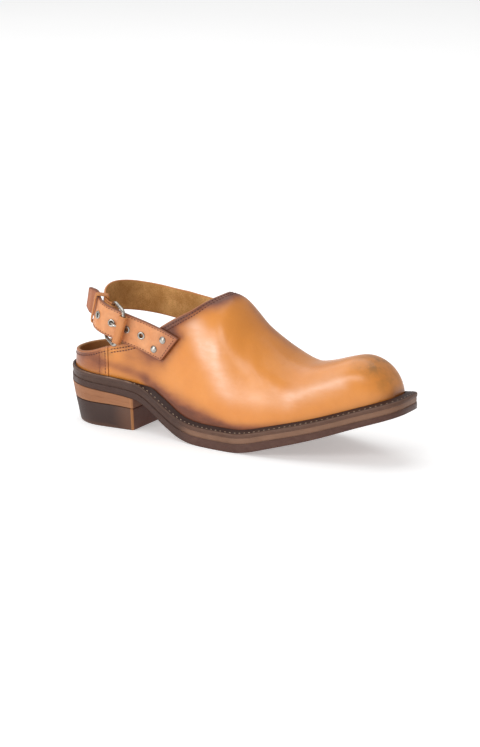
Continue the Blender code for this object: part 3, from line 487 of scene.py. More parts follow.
def upper_columns():
    """Feather station, feather angle and collar station of each column, from the heel to the toe."""
    t = np.arange(SIDE_COLUMNS + 1) / SIDE_COLUMNS
    back = UPPER_START + (FAN_START - UPPER_START) * (1 - np.cos(np.pi / 2 * t))
    back[np.argmin(np.abs(back - STEP_AT))] = STEP_AT
    back = np.sort(np.append(back, STEP_AT + STEP_WIDTH))
    t = np.arange(1, FAN_COLUMNS + 1) / FAN_COLUMNS
    front = FAN_START + (CROWN_END - FAN_START) * np.sin(np.pi / 2 * np.minimum(1, t / FAN_FOOT))
    angle = np.pi / 2 * np.maximum(0, t - FAN_FOOT) / (1 - FAN_FOOT)
    collar = FAN_START + (THROAT - FAN_START) * (1 - (1 - t) ** 2)
    foot = np.concatenate([back, front])
    return foot, np.concatenate([0 * back, angle]), np.concatenate([back, collar])


def upper_surface():
    """Grid of points: one side after the other round the shoe, each from the feather to the collar."""
    foot, foot_angle, collar = upper_columns()
    top_angle = np.where(collar >= THROAT, np.pi / 2, angle_at(collar, collar_height(collar)))
    v = np.linspace(0, 1, ROWS)
    v = 0.5 * v + 0.25 * (1 - np.cos(np.pi * v))
    span = CROWN_END - UPPER_START
    depth, top = np.sqrt(np.maximum(0, CROWN_END - foot) / span), np.sqrt((CROWN_END - collar) / span)
    d = depth[:, None] + (top - depth)[:, None] * v
    angle = foot_angle[:, None] + (top_angle - foot_angle)[:, None] * v
    x = CROWN_END - span * d * d
    outer, inner = last_point(x, angle), last_point(x, np.pi - angle + 1e-9)
    return np.concatenate([outer, inner[1:-1][::-1]])


outside = upper_surface()
COLUMNS = len(outside)
upper_normals = grid_normals(outside, True)
print("upper grid:", COLUMNS, "columns of", ROWS)

# %% [markdown]
# ## Where the upper is creased, burnished and soiled, with painted shade and painted highlights
# Each mask below is one plain rule, such as "dark within a few millimetres of the collar".
# Painting by hand would work too, but rules keep their place when the shoe's sizes change.

# %% Distances on the upper
climb = np.linalg.norm(np.diff(outside, axis=1), axis=2)
from_feather = np.concatenate([np.zeros((COLUMNS, 1)), np.cumsum(climb, axis=1)], axis=1) / MILLI
from_collar = from_feather[:, -1:] - from_feather
X, Y, Z = (outside[..., k] for k in range(3))
outer_side = Y < 0
share = X / LENGTH
step_mm = (STEP_AT - X) / MILLI
BUCKLE_DIP = math.radians(17.3)
BUCKLE_AXIS = np.array([math.cos(BUCKLE_DIP), 0.0, -math.sin(BUCKLE_DIP)])
BUCKLE_UP = np.array([math.sin(BUCKLE_DIP), 0.0, math.cos(BUCKLE_DIP)])
OUTWARD = np.array([0.0, -1.0, 0.0])
HINGE = np.array([0.161 * LENGTH, -0.628 * BALL_HALF, 0.776 * COLLAR_PEAK])
STRAP_WIDTH, TAB_REACH, TAB_SLANT = 0.0250, 0.0620, 0.0100
tab_a = (outside - HINGE) @ BUCKLE_AXIS
tab_b = (outside - HINGE) @ BUCKLE_UP
tab_front = TAB_REACH + TAB_SLANT * np.clip(tab_b / STRAP_WIDTH, -0.5, 0.5)
off_tab = np.hypot(np.maximum(0, tab_a - tab_front), np.maximum(0, np.abs(tab_b) - STRAP_WIDTH / 2)) / MILLI
print("collar to feather, mm:", from_feather[:, -1].min().round(1), "to", from_feather[:, -1].max().round(1))


# %% Ways to lay a mark
SIDE_BLEND = 0.012


def marks(rows):
    """Soft streaks summed: strength, two places as (share of length, height), reach in mm, side or 0."""
    total, flat = np.zeros_like(X), np.stack([X, Z], axis=-1)
    for strength, start, end, reach_mm, side in rows:
        a, b = (np.array([s * LENGTH, z]) for s, z in (start, end))
        t = np.clip((flat - a) @ (b - a) / max((b - a) @ (b - a), 1e-12), 0, 1)
        away = np.linalg.norm(flat - (a + t[..., None] * (b - a)), axis=-1) / MILLI
        mask = strength * fade(away, reach_mm, 2)
        total += mask * np.clip(0.5 + side * Y / SIDE_BLEND, 0, 1) if side else mask
    return total


def fade(distance, reach, power):
    return np.exp(-((distance / reach) ** power))


def past(start, run):
    """0 up to a station, climbing to 1 over the run; both are shares of the length."""
    return np.clip((share - start) / run, 0, 1)


print("toe's share of the grid:", float((past(0.58, 0.16) > 0.5).mean().round(3)))

# %% Tables of marks
# Darkened marks: burnish, plus painted shade where noted.
DARKENED = (
    (0.50, (0.150, 0.0540), (0.270, 0.0455), 5.0, 0),
    # Painted shadow under the buckle's sleeve.
    (0.34, (0.215, 0.0610), (0.215, 0.0610), 9.0, -1),
    (0.70, (0.470, COLLAR_PEAK), (0.470, COLLAR_PEAK), 10.0, 0),
    # Painted shadow below the strap tab.
    (0.35, (0.270, 0.0600), (0.270, 0.0600), 13.0, -1),
    (0.35, (0.975, 0.0500), (0.975, 0.0500), 10.0, 0),
    # Painted shade along the inner side of the vamp's ridge, which turns away from the light.
    (0.38, (0.530, 0.1060), (0.640, 0.0740), 8.0, 1),
    (0.30, (0.400, 0.78 * COLLAR_PEAK), (0.400, 0.78 * COLLAR_PEAK), 9.0, 1),
)
SOILED = (
    (0.75, (0.915, 0.078), (0.915, 0.078), 7.0, 0),
    (0.45, (0.880, 0.082), (0.880, 0.082), 7.0, 0),
    (0.35, (0.950, 0.066), (0.950, 0.066), 8.0, 0),
    (0.35, (0.040, 0.040), (0.200, 0.036), 3.0, 0),
    (0.45, (0.120, 0.060), (0.160, 0.062), 3.5, -1),
)
# Painted highlights: pale streaks where the front-left softbox's reflection runs down the quarter and along
# the toe.
PAINTED_HIGHLIGHTS = (
    (0.95, (0.405, 0.098), (0.475, 0.077), 8.0, 0),
    (0.75, (0.475, 0.077), (0.525, 0.052), 9.0, 0),
    (0.35, (0.550, 0.044), (0.700, 0.046), 7.0, 0),
    (0.70, (0.720, 0.050), (0.840, 0.065), 7.0, 0),
)
DEEP_TONED = (
    (0.70, (0.470, 0.105), (0.620, 0.075), 14.0, 0),
    (0.50, (0.560, 0.058), (0.560, 0.058), 13.0, 0),
    (0.40, (0.310, 0.066), (0.310, 0.066), 8.0, 0),
)
print("marks:", [len(rows) for rows in (DARKENED, SOILED, PAINTED_HIGHLIGHTS, DEEP_TONED)])

# %% Masks
waist, toe = fade(share - 0.39, 0.12, 2), past(0.58, 0.16)
above_sole = np.maximum(0, from_feather - 3.6 - past(0.24, 0.06) * 2.6 - 1.6 * waist)
# Burnish: wax darkening near the collar, the sole and the counter; the ring round the tab and several marked
# rows add painted shade.
burnish_and_shade = 0.92 * past(0.24, 0.10) * fade(from_collar, 8.5, 1.5) + 0.35 * fade(from_collar, 2.5, 1)
at_sole = (0.86 + 0.30 * waist) * (1 - 0.72 * toe) * past(0.25, 0.05)
burnish_and_shade += at_sole * fade(above_sole, 5.6 + 8.4 * waist, 1.8)
# Painted shadow: a dark ring round the buckle tab, where it lies over the upper.
burnish_and_shade += 0.70 * fade(off_tab, 6.5, 1.3) * outer_side * past(0.20, 0.08)
burnish_and_shade += 0.75 * np.clip(step_mm / 8, 0, 1) * fade(from_feather - 13, 13, 2)
burnish_and_shade = np.clip(burnish_and_shade + marks(DARKENED), 0, 1)
smudge = np.clip(marks(SOILED), 0, 1)
# Painted highlight mask, kept off the burnish.
painted_highlight = np.clip(marks(PAINTED_HIGHLIGHTS) * (1 - burnish_and_shade), 0, 1)
deep = np.clip(marks(DEEP_TONED) + 0.9 * fade(above_sole, 4.0, 2) * (1 - past(0.25, 0.05)), 0, 1)
print("burnished share:", float((burnish_and_shade > 0.5).mean().round(3)))

# %% [markdown]
# ## Creases
# Where the foot bends, the vamp shows shallow troughs across it, and the leather lies in soft
# swells where it was pulled down to the sole. Each is moved along the surface's normal:
# less than half a millimetre is enough for the light to find it.

# %% Soft troughs and swells
CREASES = (
    (-0.35, (0.555, 0.092), (0.600, 0.060), 4.0, 0),
    (-0.30, (0.590, 0.088), (0.640, 0.056), 3.5, 0),
    (0.22, (0.575, 0.088), (0.620, 0.056), 4.0, 0),
    (-0.25, (0.625, 0.078), (0.680, 0.054), 3.5, 0),
    (0.60, (0.440, 0.088), (0.525, 0.052), 9.0, 0),
    (-0.40, (0.350, 0.072), (0.420, 0.048), 8.0, 0),
    (0.30, (0.210, 0.050), (0.260, 0.044), 6.0, 0),
    (-0.30, (0.500, 0.070), (0.560, 0.042), 8.0, 0),
    (-0.20, (0.180, 0.060), (0.230, 0.052), 4.0, 0),
)
relief = 0.55 * marks(CREASES) * np.clip(from_collar / 6, 0, 1) * np.clip(from_feather / 5, 0, 1)
relief -= 0.22 * fade(from_collar - 3.6, 2.4, 2) * past(0.17, 0.02)
proud = np.where(outside[:, :1, 0] <= STEP_AT + 1e-6, COUNTER_STEP, 0.0)
lining = outside - upper_normals * WALL
lining[:, 0, 2] = outside[:, 0, 2]
skin = outside + upper_normals * (relief * MILLI + proud)[..., None]
skin_normals = grid_normals(skin, True)
print("deepest trough:", round(float(relief.min()), 2), "mm")

# %% The upper as one hollow piece
RIM_TURNS = np.radians([24, 48, 72, 90, 108, 132, 156])
top_out, top_in = skin[:, -1], lining[:, -1]
rise = unit(skin[:, -1] - skin[:, -3])
rim_middle, rim_reach = (top_out + top_in) / 2, (top_out - top_in) / 2
half_wall = np.linalg.norm(rim_reach, axis=1, keepdims=True)
rim = [rim_middle + rim_reach * math.cos(t) + rise * half_wall * 0.8 * math.sin(t) for t in RIM_TURNS]
sections = np.concatenate([skin, np.stack(rim, axis=1), lining[:, ::-1]], axis=1)
ring = sections.shape[1]
faces = grid_faces(COLUMNS, ring, True, True)
LINING_FROM = ROWS + 3
outer_quads = [f for f in faces if f[0] % ring < LINING_FROM]
inner_quads = [f for f in faces if f[0] % ring >= LINING_FROM]


def on_sections(values, rim_value=None):
    """A value on the skin carried over the rim and down the lining."""
    edge = values[:, -1:] if rim_value is None else np.full((COLUMNS, 1), rim_value)
    return np.concatenate([values, np.repeat(edge, len(RIM_TURNS), axis=1), values[:, ::-1]], axis=1)


upper = add_piece(
    "upper_leather",
    sections,
    outer_quads + inner_quads,
    ["upper"],
    "tan_leather",
    {
        "collar_mm": on_sections(from_collar, 0.0),
        "feather_mm": on_sections(from_feather),
        "step_mm": on_sections(step_mm),
        "station_mm": on_sections(X / MILLI),
        "burnish_and_shade": on_sections(burnish_and_shade),
        "smudge": on_sections(smudge),
        "painted_highlight": on_sections(painted_highlight),
        "deep": on_sections(deep),
    },
    inner_from=len(outer_quads),
)

# %% [markdown]
# ## Stitches on the upper
# Two rows of thread hold the lining along the collar, two more cross the counter's front edge, and
# one line on the inner side holds the strap. A bump could only darken them, so each stitch is a
# short bead of thread that dives into the leather at both ends.

# %% Rows of stitches
PITCH, STITCH, THREAD = 0.0027, 0.0020, 0.00044


def below_collar(distance_mm, columns):
    """Points and normals of the skin at a distance below the collar."""
    points, normals = [], []
    for c in columns:
        along = from_collar[c][::-1]
        points.append(point_at(distance_mm, along, skin[c, ::-1]))
        normals.append(point_at(distance_mm, along, skin_normals[c, ::-1]))
    return np.array(points), np.array(normals)


half_count = COLUMNS // 2
front_columns = [c for c in range(COLUMNS) if outside[c, -1, 0] > STEP_AT + 0.001]
back_columns = [c for c in range(COLUMNS) if outside[c, -1, 0] <= STEP_AT - 0.001]
back_columns = [c for c in back_columns if c > half_count] + [c for c in back_columns if c <= half_count]
collar_parts = []
for distance in (2.2, 4.9):
    collar_parts += thread_row(*below_collar(distance, front_columns), PITCH, STITCH, THREAD)
collar_parts += thread_row(*below_collar(2.6, back_columns), PITCH, STITCH, THREAD)
collar_stitches = add_piece("collar_stitches", *join(collar_parts), [], "tan_leather")


# %% Counter rows and the strap's seam on the inner side
BEHIND_STEP, ROW_MARGIN = (0.0024, 0.0078), 0.004
SEAM_FROM, SEAM_TO = np.array([0.335, 0.80]), np.array([0.420, 0.685])
TACK_THREADS, TACK_PITCH, TACK_REACH = 9, 0.0007, 0.0022
TACK_LENGTH, TACK_THREAD, TACK_LIFT = 0.0042, 0.00035, 0.0001
UP_THE_WALL = np.array([[0.0, 1.0, 0.3]])


def up_the_side(x, side, count=60):
    """A vertical line on the counter's side, from above the feather to below the collar."""
    heights = np.linspace(float(feather(x)) + ROW_MARGIN, float(collar_height(x)) - ROW_MARGIN, count)
    points = np.array([beside_wall(x, z, side, COUNTER_STEP) for z in heights])
    return points, np.tile([0.0, side, 0.1], (count, 1))


counter_parts = []
for side in (-1, 1):
    for behind in BEHIND_STEP:
        counter_parts += thread_row(*up_the_side(STEP_AT - behind, side), PITCH, STITCH, THREAD)
seam = []
for t in np.linspace(0, 1, 40):
    x_share, z_share = SEAM_FROM * (1 - t) + SEAM_TO * t
    seam.append(beside_wall(x_share * LENGTH, z_share * COLLAR_PEAK, 1, 0.0))
seam = np.array(seam)
counter_parts += thread_row(seam, UP_THE_WALL.repeat(len(seam), axis=0), PITCH, STITCH, THREAD)
counter_stitches = add_piece("counter_stitches", *join(counter_parts), [], "tan_leather")
tack = []
for k in range(TACK_THREADS):
    centre = seam[-1] + BUCKLE_AXIS * TACK_PITCH * (k - TACK_THREADS // 2)
    ends = centre + np.array([[0, 0, -TACK_REACH], [0, 0, 0], [0, 0, TACK_REACH]])
    outs = UP_THE_WALL.repeat(3, axis=0)
    tack += thread_row(ends, outs, TACK_LENGTH + TACK_LIFT, TACK_LENGTH, TACK_THREAD, TACK_LIFT)
bar_tack = add_piece("bar_tack", *join(tack), [], "tan_leather")

# %% [markdown]
# ## The sole
# The sole is built in layers: outsole, midsole and a welt that shows as a ledge round the front. Each
# layer is the same outline, raised to its height, with its edge trimmed round by an iron.

# %% Sole layers
EDGE_STEPS = np.radians([90, 68, 45, 22, 0])
CAP_COLUMNS = 9
TOUCH = 0.00004
TRIM_ROUND, MIDSOLE_SET_IN, SOCK_ROUND = 0.00025, 0.0004, 0.0009


def plate(name, loop, bottom, top, round_edge, nodes, slot):
    """A layer between two heights with rounded edges and filled faces."""
    insets = round_edge * (1 - np.sin(EDGE_STEPS))
    heights = [(inset, bottom, inset) for inset in insets] + [(0.0, None, 0.0)]
    heights += [(inset, top, -inset) for inset in insets[::-1]]
    rings = []
    for inset, height, lift in heights:
        placed = moved_in(loop, np.full(len(loop), inset))
        x = placed[:, 0]
        z = (bottom(x) + top(x)) / 2 if height is None else height(x) + lift
        rings.append(np.column_stack([placed, z]))
    rings = np.stack(rings)
    count = len(loop)
    points, faces = rings.reshape(-1, 3), grid_faces(len(rings), count, False, True)
    edge = np.zeros(len(points))
    half = count // 2
    for row in (0, len(rings) - 1):
        a, b = rings[row][:half], rings[row][half:][::-1]
        share = np.linspace(0, 1, CAP_COLUMNS)[None, 1:-1, None]
        cap = a[:, None] * (1 - share) + b[:, None] * share
        start = len(points)
        points = np.concatenate([points, cap.reshape(-1, 3)])
        wide = np.linalg.norm(b - a, axis=1)[:, None] / MILLI
        inside = np.minimum(share[..., 0], 1 - share[..., 0]) * wide
        edge = np.concatenate([edge, inside.ravel()])
        inner = CAP_COLUMNS - 2
        index = np.empty((half, CAP_COLUMNS), int)
        index[:, 0] = row * count + np.arange(half)
        index[:, -1] = row * count + count - 1 - np.arange(half)
        index[:, 1:-1] = start + np.arange(half * inner).reshape(half, inner)
        for i in range(half - 1):
            for c in range(CAP_COLUMNS - 1):
                faces.append((index[i, c], index[i + 1, c], index[i + 1, c + 1], index[i, c + 1]))
        for end in (0, half - 1):
            faces.append(tuple(index[end]))
    station = points[:, 0] / MILLI
    return add_piece(name, points, faces, nodes, slot, {"station_mm": station, "edge_mm": edge}, sharp=42)


print("rings round a layer's edge:", 2 * len(EDGE_STEPS) + 1)

# %% Outsole and midsole
outsole = plate("outsole_layer", SOLE_LOOP, underside, outsole_top, TRIM_ROUND, ["outsole"], "outsole_edge")
midsole = plate(
    "midsole_layer",
    moved_in(SOLE_LOOP, np.full(len(SOLE_LOOP), MIDSOLE_SET_IN)),
    lambda x: outsole_top(x) + TOUCH,
    midsole_top,
    TRIM_ROUND,
    ["midsole"],
    "dark_sole_edge",
)

# %% Welt and seat rand
SEAT_ROOM, WELT_ROOM, WELT_TUCK = SIDE_SWELL * 0.35, 0.0006, 0.0002
TOP_ROUND, FOOT_ROUND = 0.5, 0.12
LIP_AT, LIP_REACH = 0.325, 0.065
STRIP_TURNS = np.radians([-90, -50, -15, 15, 50, 90])
LEDGE_SHARES = (0.15, 0.32, 0.5, 0.68, 0.84, 0.96)


def upper_place(x):
    """The sole's station moved into the upper's length at the round ends."""
    toe_from = UPPER_END - TOE_ROUND
    at_heel = UPPER_START + x * (HEEL_ROUND - UPPER_START) / HEEL_ROUND
    at_toe = toe_from + (x - toe_from) * TOE_ROUND / (LENGTH - toe_from)
    return np.where(x < HEEL_ROUND, at_heel, np.where(x > toe_from, at_toe, x))


SEAT_GAPS = np.where(SOLE_LOOP[:, 0] < BREAST, GAP + SEAT_ROOM, GAP + WELT_ROOM)
BESIDE_UPPER = moved_in(plan_loop(upper_half, upper_place(SOLE_PLACES)), -SEAT_GAPS)


def welt_rise(x):
    """How far the welt's top climbs towards the upper at a station."""
    part = np.clip((x - BREAST) / WELT_RISE_RUN, 0, 1)
    waist_lip = fade(x / LENGTH - LIP_AT, LIP_REACH, 2)
    return (WELT_RISE + WAIST_RISE * waist_lip) * eased(part)


print("welt climbs at most", round(float(welt_rise(SOLE_PLACES).max()) / MILLI, 1), "mm")


# %% A ledge on the midsole
def edge_strip(name, first, last, nodes):
    """A ledge on the midsole between the sole's edge and the upper, from one station to another."""
    places = np.arange(len(SOLE_PLACES))
    chosen = places[(SOLE_PLACES >= first) & (SOLE_PLACES <= last)]
    mirror = 2 * len(SOLE_PLACES) - 1 - chosen
    order = np.concatenate([mirror[::-1], chosen]) if first <= 0 else np.concatenate([chosen, mirror[::-1]])
    outer, inner = SOLE_LOOP[order], BESIDE_UPPER[order]
    across = unit(outer - inner)
    sections, edge, rim = [], [], []
    radius = WELT_THICK / 2
    x = outer[:, 0]
    low, high = midsole_top(x) + TOUCH, welt_top(x)
    for turn in STRIP_TURNS:
        out = outer + across * radius * (TOP_ROUND if turn > 0 else FOOT_ROUND) * (math.cos(turn) - 1)
        sections.append(np.column_stack([out, (low + high) / 2 + (high - low) / 2 * math.sin(turn)]))
        edge.append(np.zeros(len(order)))
        rim.append(np.full(len(order), max(0.0, math.sin(turn))))
    wide = np.linalg.norm(outer - inner, axis=1)
    for share in LEDGE_SHARES:
        at = outer * (1 - share) + inner * share
        sections.append(np.column_stack([at, welt_top(at[:, 0]) + share * welt_rise(at[:, 0])]))
        edge.append(share * wide / MILLI)
    sections.append(np.column_stack([inner, welt_top(inner[:, 0]) + welt_rise(inner[:, 0]) - WELT_TUCK]))
    sections.append(np.column_stack([inner, midsole_top(inner[:, 0]) + GAP]))
    edge += [wide / MILLI, wide / MILLI]
    rim += [np.zeros(len(order))] * (len(LEDGE_SHARES) + 2)
    grid = np.stack(sections, axis=1)
    rows, columns = grid.shape[:2]
    faces = grid_faces(rows, columns, False, True, True)
    values = {"edge_mm": np.stack(edge, axis=1), "rim": np.stack(rim, axis=1)}
    values["station_mm"] = grid[..., 0] / MILLI
    piece = add_piece(name, grid, faces, nodes, "dark_sole_edge", values, sharp=46)
    return piece, order


welt, welt_order = edge_strip("welt_ledge", BREAST, LENGTH, ["welt"])
seat_rand, _ = edge_strip("seat_rand", 0.0, BREAST - SEAM / 2, ["heel_rand"])

# %% Stitches in the welt
WELT_PITCH, WELT_STITCH, WELT_THREAD = 0.0045, 0.0020, 0.00034
STITCH_PLACE = 0.30
line = SOLE_LOOP[welt_order] * (1 - STITCH_PLACE) + BESIDE_UPPER[welt_order] * STITCH_PLACE
welt_line = np.column_stack([line, welt_top(line[:, 0]) + STITCH_PLACE * welt_rise(line[:, 0])])
upwards = np.tile([0.0, 0.0, 1.0], (len(welt_line), 1))
welt_threads = join(thread_row(welt_line, upwards, WELT_PITCH, WELT_STITCH, WELT_THREAD))
welt_stitches = add_piece("welt_stitches", *welt_threads, [], "dark_sole_edge")

# %% [markdown]
# ## The heel
# The heel is a stack of leather. A light wedge lies under the sole, a dark block stands on the floor,
# and the front corners are cut off by a file, with a painted highlight as their bright edge.

# %% Wedge and block
CORNER, SHEET_REACH, SHEET_GROOVE = 0.0016, 0.012, 0.00012


def heel_loop(share):
    """Outline of the heel; the share runs from 0 on the floor to 1 at the sole."""
    back = HEEL_SET_BACK * (1 - share)
    taper = HEEL_TAPER + (1 - HEEL_TAPER) * share
    places = 1 - np.cos(np.pi / 2 * np.linspace(0.006, 1, 64))
    places = places[places < 1 - CORNER / BREAST]
    places = np.append(places, [1 - CORNER / BREAST, 1.0])
    x = back + (BREAST - back) * places
    outer, inner = taper * sole_half(BREAST * places, -1), taper * sole_half(BREAST * places, 1)
    outer[-1] += CORNER
    inner[-1] -= CORNER
    outer, inner = np.column_stack([x, outer]), np.column_stack([x, inner])
    return np.concatenate([outer, inner[::-1]])


def wedge_bottom(x):
    return underside(x) - GAP - WEDGE_BACK + (WEDGE_BACK - WEDGE_FRONT) * x / BREAST


print("wedge's back edge from", round(float(wedge_bottom(0.0)), 4), "m above the floor")


# %% One layer of the heel
def block_top(x):
    return wedge_bottom(x) - GAP


def heel_piece(name, bottom, top, nodes, slot, layers, round_edge=0.0007):
    """One layer of the heel, with faint steps where its sheets of leather meet."""
    rings = []
    shares = [float(h(BREAST / 2) / underside(BREAST / 2)) for h in (bottom, top)]
    steps = [(0.0, round_edge), (0.02, round_edge * 0.3), (0.05, 0.0)]
    for i in range(1, layers):
        at = 0.05 + 0.9 * i / layers
        steps += [(at - SHEET_REACH, 0.0), (at, SHEET_GROOVE), (at + SHEET_REACH, 0.0)]
    steps += [(0.95, 0.0), (0.98, round_edge * 0.3), (1.0, round_edge)]
    for part, inset in steps:
        loop = heel_loop(min(1.0, shares[0] + (shares[1] - shares[0]) * part))
        loop = moved_in(loop, np.full(len(loop), inset))
        x = loop[:, 0]
        rings.append(np.column_stack([loop, bottom(x) * (1 - part) + top(x) * part]))
    rings = np.stack(rings)
    count = rings.shape[1]
    points, faces = rings.reshape(-1, 3), grid_faces(len(rings), count, False, True)
    last = (len(rings) - 1) * count
    for i in range(count // 2 - 1):
        j, k, m = i + 1, count - 2 - i, count - 1 - i
        faces += [(m, k, j, i), (last + i, last + j, last + k, last + m)]
    half = count // 2
    corner = np.zeros(count)
    corner[half - 3:half + 3] = 1.0
    breast = np.zeros(count)
    breast[[half - 1, half]] = 1.0
    rise = np.repeat([part for part, _ in steps], count)
    values = {
        "corner": np.tile(corner, len(rings)),
        "breast": np.tile(breast, len(rings)),
        "rise": rise,
        "station_mm": points[:, 0] / MILLI,
    }
    return add_piece(name, points, faces, nodes, slot, values, sharp=28)


wedge = heel_piece(
    "heel_wedge_layer", wedge_bottom, lambda x: underside(x) - GAP, ["heel_wedge"], "stacked_leather", 2
)
block = heel_piece("heel_block_stack", np.zeros_like, block_top, ["heel_block"], "dark_sole_edge", 1)

# %% [markdown]
# ## Insole
# Inside lies a thin sock of leather over the insole, a little smaller than the upper's foot.

# %% Sock
upper_loop = plan_loop(upper_half, upper_place(SOLE_PLACES))
sock_loop = moved_in(upper_loop, np.full(len(upper_loop), WALL + 4 * GAP))
sock = plate(
    "insole_sock",
    sock_loop,
    lambda x: midsole_top(x) + GAP,
    lambda x: midsole_top(x) + GAP + INSOLE_THICK,
    SOCK_ROUND,
    ["insole"],
    "suede_lining",
)

# %% [markdown]
# ## Strap, tab and buckle
# The strap is sewn into the inner collar, runs round the heel and folds round the buckle's inner
# bar. From the outer side a riveted tab with eyelets passes over that fold, under the outer bar,
# and its tail goes through a keeper.

# %% Sizes of the strap and the buckle
STRAP_THICK, TAB_THICK = 0.0018, 0.0026
BAR_RADIUS, BUCKLE_REACH, FRAME_SPARE, FRAME_CORNER = 0.0014, 0.0175, 0.0018, 0.0042
SLEEVE_THICK, SLEEVE_WIDTH = 0.0013, 0.0072
PRONG_RADIUS, PRONG_ROOM = 0.0010, 0.0024
SLOT_WIDTH, SLOT_DEPTH, SLOT_BACK = 0.0036, 0.0120, 0.0045
FOLD_LENGTH, TAIL_LENGTH = 0.0110, 0.0302
KEEPER_PLACE, KEEPER_WIDTH, KEEPER_THICK, KEEPER_ROOM = 0.0150, 0.0040, 0.0015, 0.0009
EYELET_PITCH, EYELET_FIRST, EYELET_HOLE, EYELET_FLANGE = 0.0136, 0.0062, 0.0024, 0.0033
EYELET_RISE, EYELET_WALL = 0.0006, 0.0004
RIVET_RADIUS, RIVET_RISE, RIVET_HOLE = 0.0031, 0.0013, 0.0016
RIVETS = ((0.0526, 0.0048), (0.0489, -0.0057))
EYELETS = [EYELET_FIRST + EYELET_PITCH * i for i in (-1, 0, 1, 2)]
STRAP_END, COLLAR_ROOM = 0.400 * LENGTH, 0.0009
TAB_CLEAR, TAB_DIP, TAB_SETTLE = 0.0003, 0.0012, 0.030
TAIL_SPRING, TAIL_BEND, TAIL_RISE, TAIL_NARROWING = math.radians(38), 0.008, 0.10, 0.008
SEWN_HEIGHT, SEWN_FALL, BUCKLE_HOLD = 0.822, 0.020, 0.04
FOLD_OFFSET = BAR_RADIUS + GAP + STRAP_THICK / 2
STRAP_ROWS = (
    (0.1405, -0.558, 0.793),
    (0.1250, -0.450, 0.822),
    (0.1125, -0.240, 0.853),
    (0.1090, 0.050, 0.865),
    (0.1190, 0.340, 0.856),
    (0.1480, 0.560, 0.838),
    (0.2020, 0.600, 0.828),
    (0.2650, 0.515, 0.822),
)
print("hinge bar at", HINGE)


# %% Route of the strap
def spline(points, count):
    points = [2 * points[0] - points[1], *points, 2 * points[-1] - points[-2]]
    fine = []
    for i in range(1, len(points) - 2):
        p0, p1, p2, p3 = points[i - 1 : i + 3]
        for t in np.arange(20) / 20:
            square, cube = 2 * p0 - 5 * p1 + 4 * p2 - p3, 3 * p1 - p0 - 3 * p2 + p3
            fine.append(0.5 * (2 * p1 + (p2 - p0) * t + square * t * t + cube * t**3))
    fine = np.array([*fine, points[-2]])
    run = run_along(fine)
    return point_at(np.linspace(0, run[-1], count), run, fine).T


def across(centre, up, width, count):
    return [centre + up * width * (k / (count - 1) - 0.5) for k in range(count)]


def sewn_rows(count=14, width=9):
    """Rows of the strap inside the inner collar, where it is sewn on."""
    rows = []
    for i in range(count):
        t = i / (count - 1)
        x = FAN_START + (STRAP_END - FAN_START) * t
        centre = COLLAR_PEAK * (SEWN_HEIGHT - SEWN_FALL * t)
        inside = -(WALL + 2 * GAP + STRAP_THICK / 2 + COLLAR_ROOM)
        heights = [centre + STRAP_WIDTH * (k / (width - 1) - 0.5) for k in range(width)]
        rows.append([beside_wall(x, height, 1, inside) for height in heights])
    return rows


def strap_route():
    start = HINGE - OUTWARD * FOLD_OFFSET
    scale = np.array([LENGTH, BALL_HALF, COLLAR_PEAK])
    points = [start + BUCKLE_AXIS * 0.001, start] + [np.array(row) * scale for row in STRAP_ROWS]
    points.append(np.mean(sewn_rows(2, 5)[0], axis=0))
    return spline(points, 240)


ROUTE = strap_route()
RUN = run_along(ROUTE)
print("loose strap:", round(float(RUN[-1]), 3), "m")


# %% Frames along the strap
def on_route(distance):
    return point_at(max(0.0, distance), RUN, ROUTE)


def route_frame(distance):
    """Point, direction, upward edge and outward side of the strap at a distance from the hinge."""
    distance = max(0.0, distance)
    direction = unit(on_route(distance + WALL) - on_route(distance - WALL))
    ease = min(1.0, distance / BUCKLE_HOLD)
    up = BUCKLE_UP * (1 - ease) + np.array([0.0, 0.0, 1.0]) * ease
    up = unit(up - direction * up.dot(direction))
    outward = unit(np.cross(up, direction)) if distance >= 0.001 else OUTWARD
    return on_route(distance), direction, up, outward


def fold_lift(distance):
    """How far the fold's outer layer lies out from the inner one behind the hinge bar."""
    share = min(1.0, distance / FOLD_LENGTH)
    close = STRAP_THICK + 2 * GAP
    return close + (2 * FOLD_OFFSET - close) * (1 - eased(share))


# %% Cutting holes
def cut_holes(piece, cutters):
    """Takes round and square holes out of a piece, and gives the new points their neighbours' values."""
    mesh = piece.data
    kept = [layer.name for layer in mesh.attributes if layer.data_type == "FLOAT"]
    old = {key: np.zeros(len(mesh.vertices), np.float32) for key in kept}
    for key in kept:
        mesh.attributes[key].data.foreach_get("value", old[key])
    tree = kdtree.KDTree(len(mesh.vertices))
    for i, vertex in enumerate(mesh.vertices):
        tree.insert(vertex.co, i)
    tree.balance()
    made = []
    for number, (points, faces) in enumerate(cutters):
        shape = bpy.data.meshes.new(f"hole_{number}")
        corners = [tuple(int(i) for i in face) for face in faces]
        shape.from_pydata((np.asarray(points) - SHIFT).tolist(), [], corners)
        cutter = bpy.data.objects.new(f"hole_{number}", shape)
        bpy.context.scene.collection.objects.link(cutter)
        change = piece.modifiers.new("hole", "BOOLEAN")
        change.operation, change.solver, change.object = "DIFFERENCE", "EXACT", cutter
        made.append(cutter)
    ready = piece.evaluated_get(bpy.context.evaluated_depsgraph_get())
    new = bpy.data.meshes.new_from_object(ready)
    piece.modifiers.clear()
    piece.data = new
    new.materials.clear()
    for cutter in made:
        bpy.data.objects.remove(cutter)
    nearest = [tree.find(vertex.co)[1] for vertex in new.vertices]
    for key, values in old.items():
        layer = new.attributes.get(key) or new.attributes.new(key, "FLOAT", "POINT")
        layer.data.foreach_set("value", values[nearest])
    new.shade_smooth()
    new.set_sharp_from_angle(angle=math.radians(50))
    print(piece.name, "with", len(made), "holes")


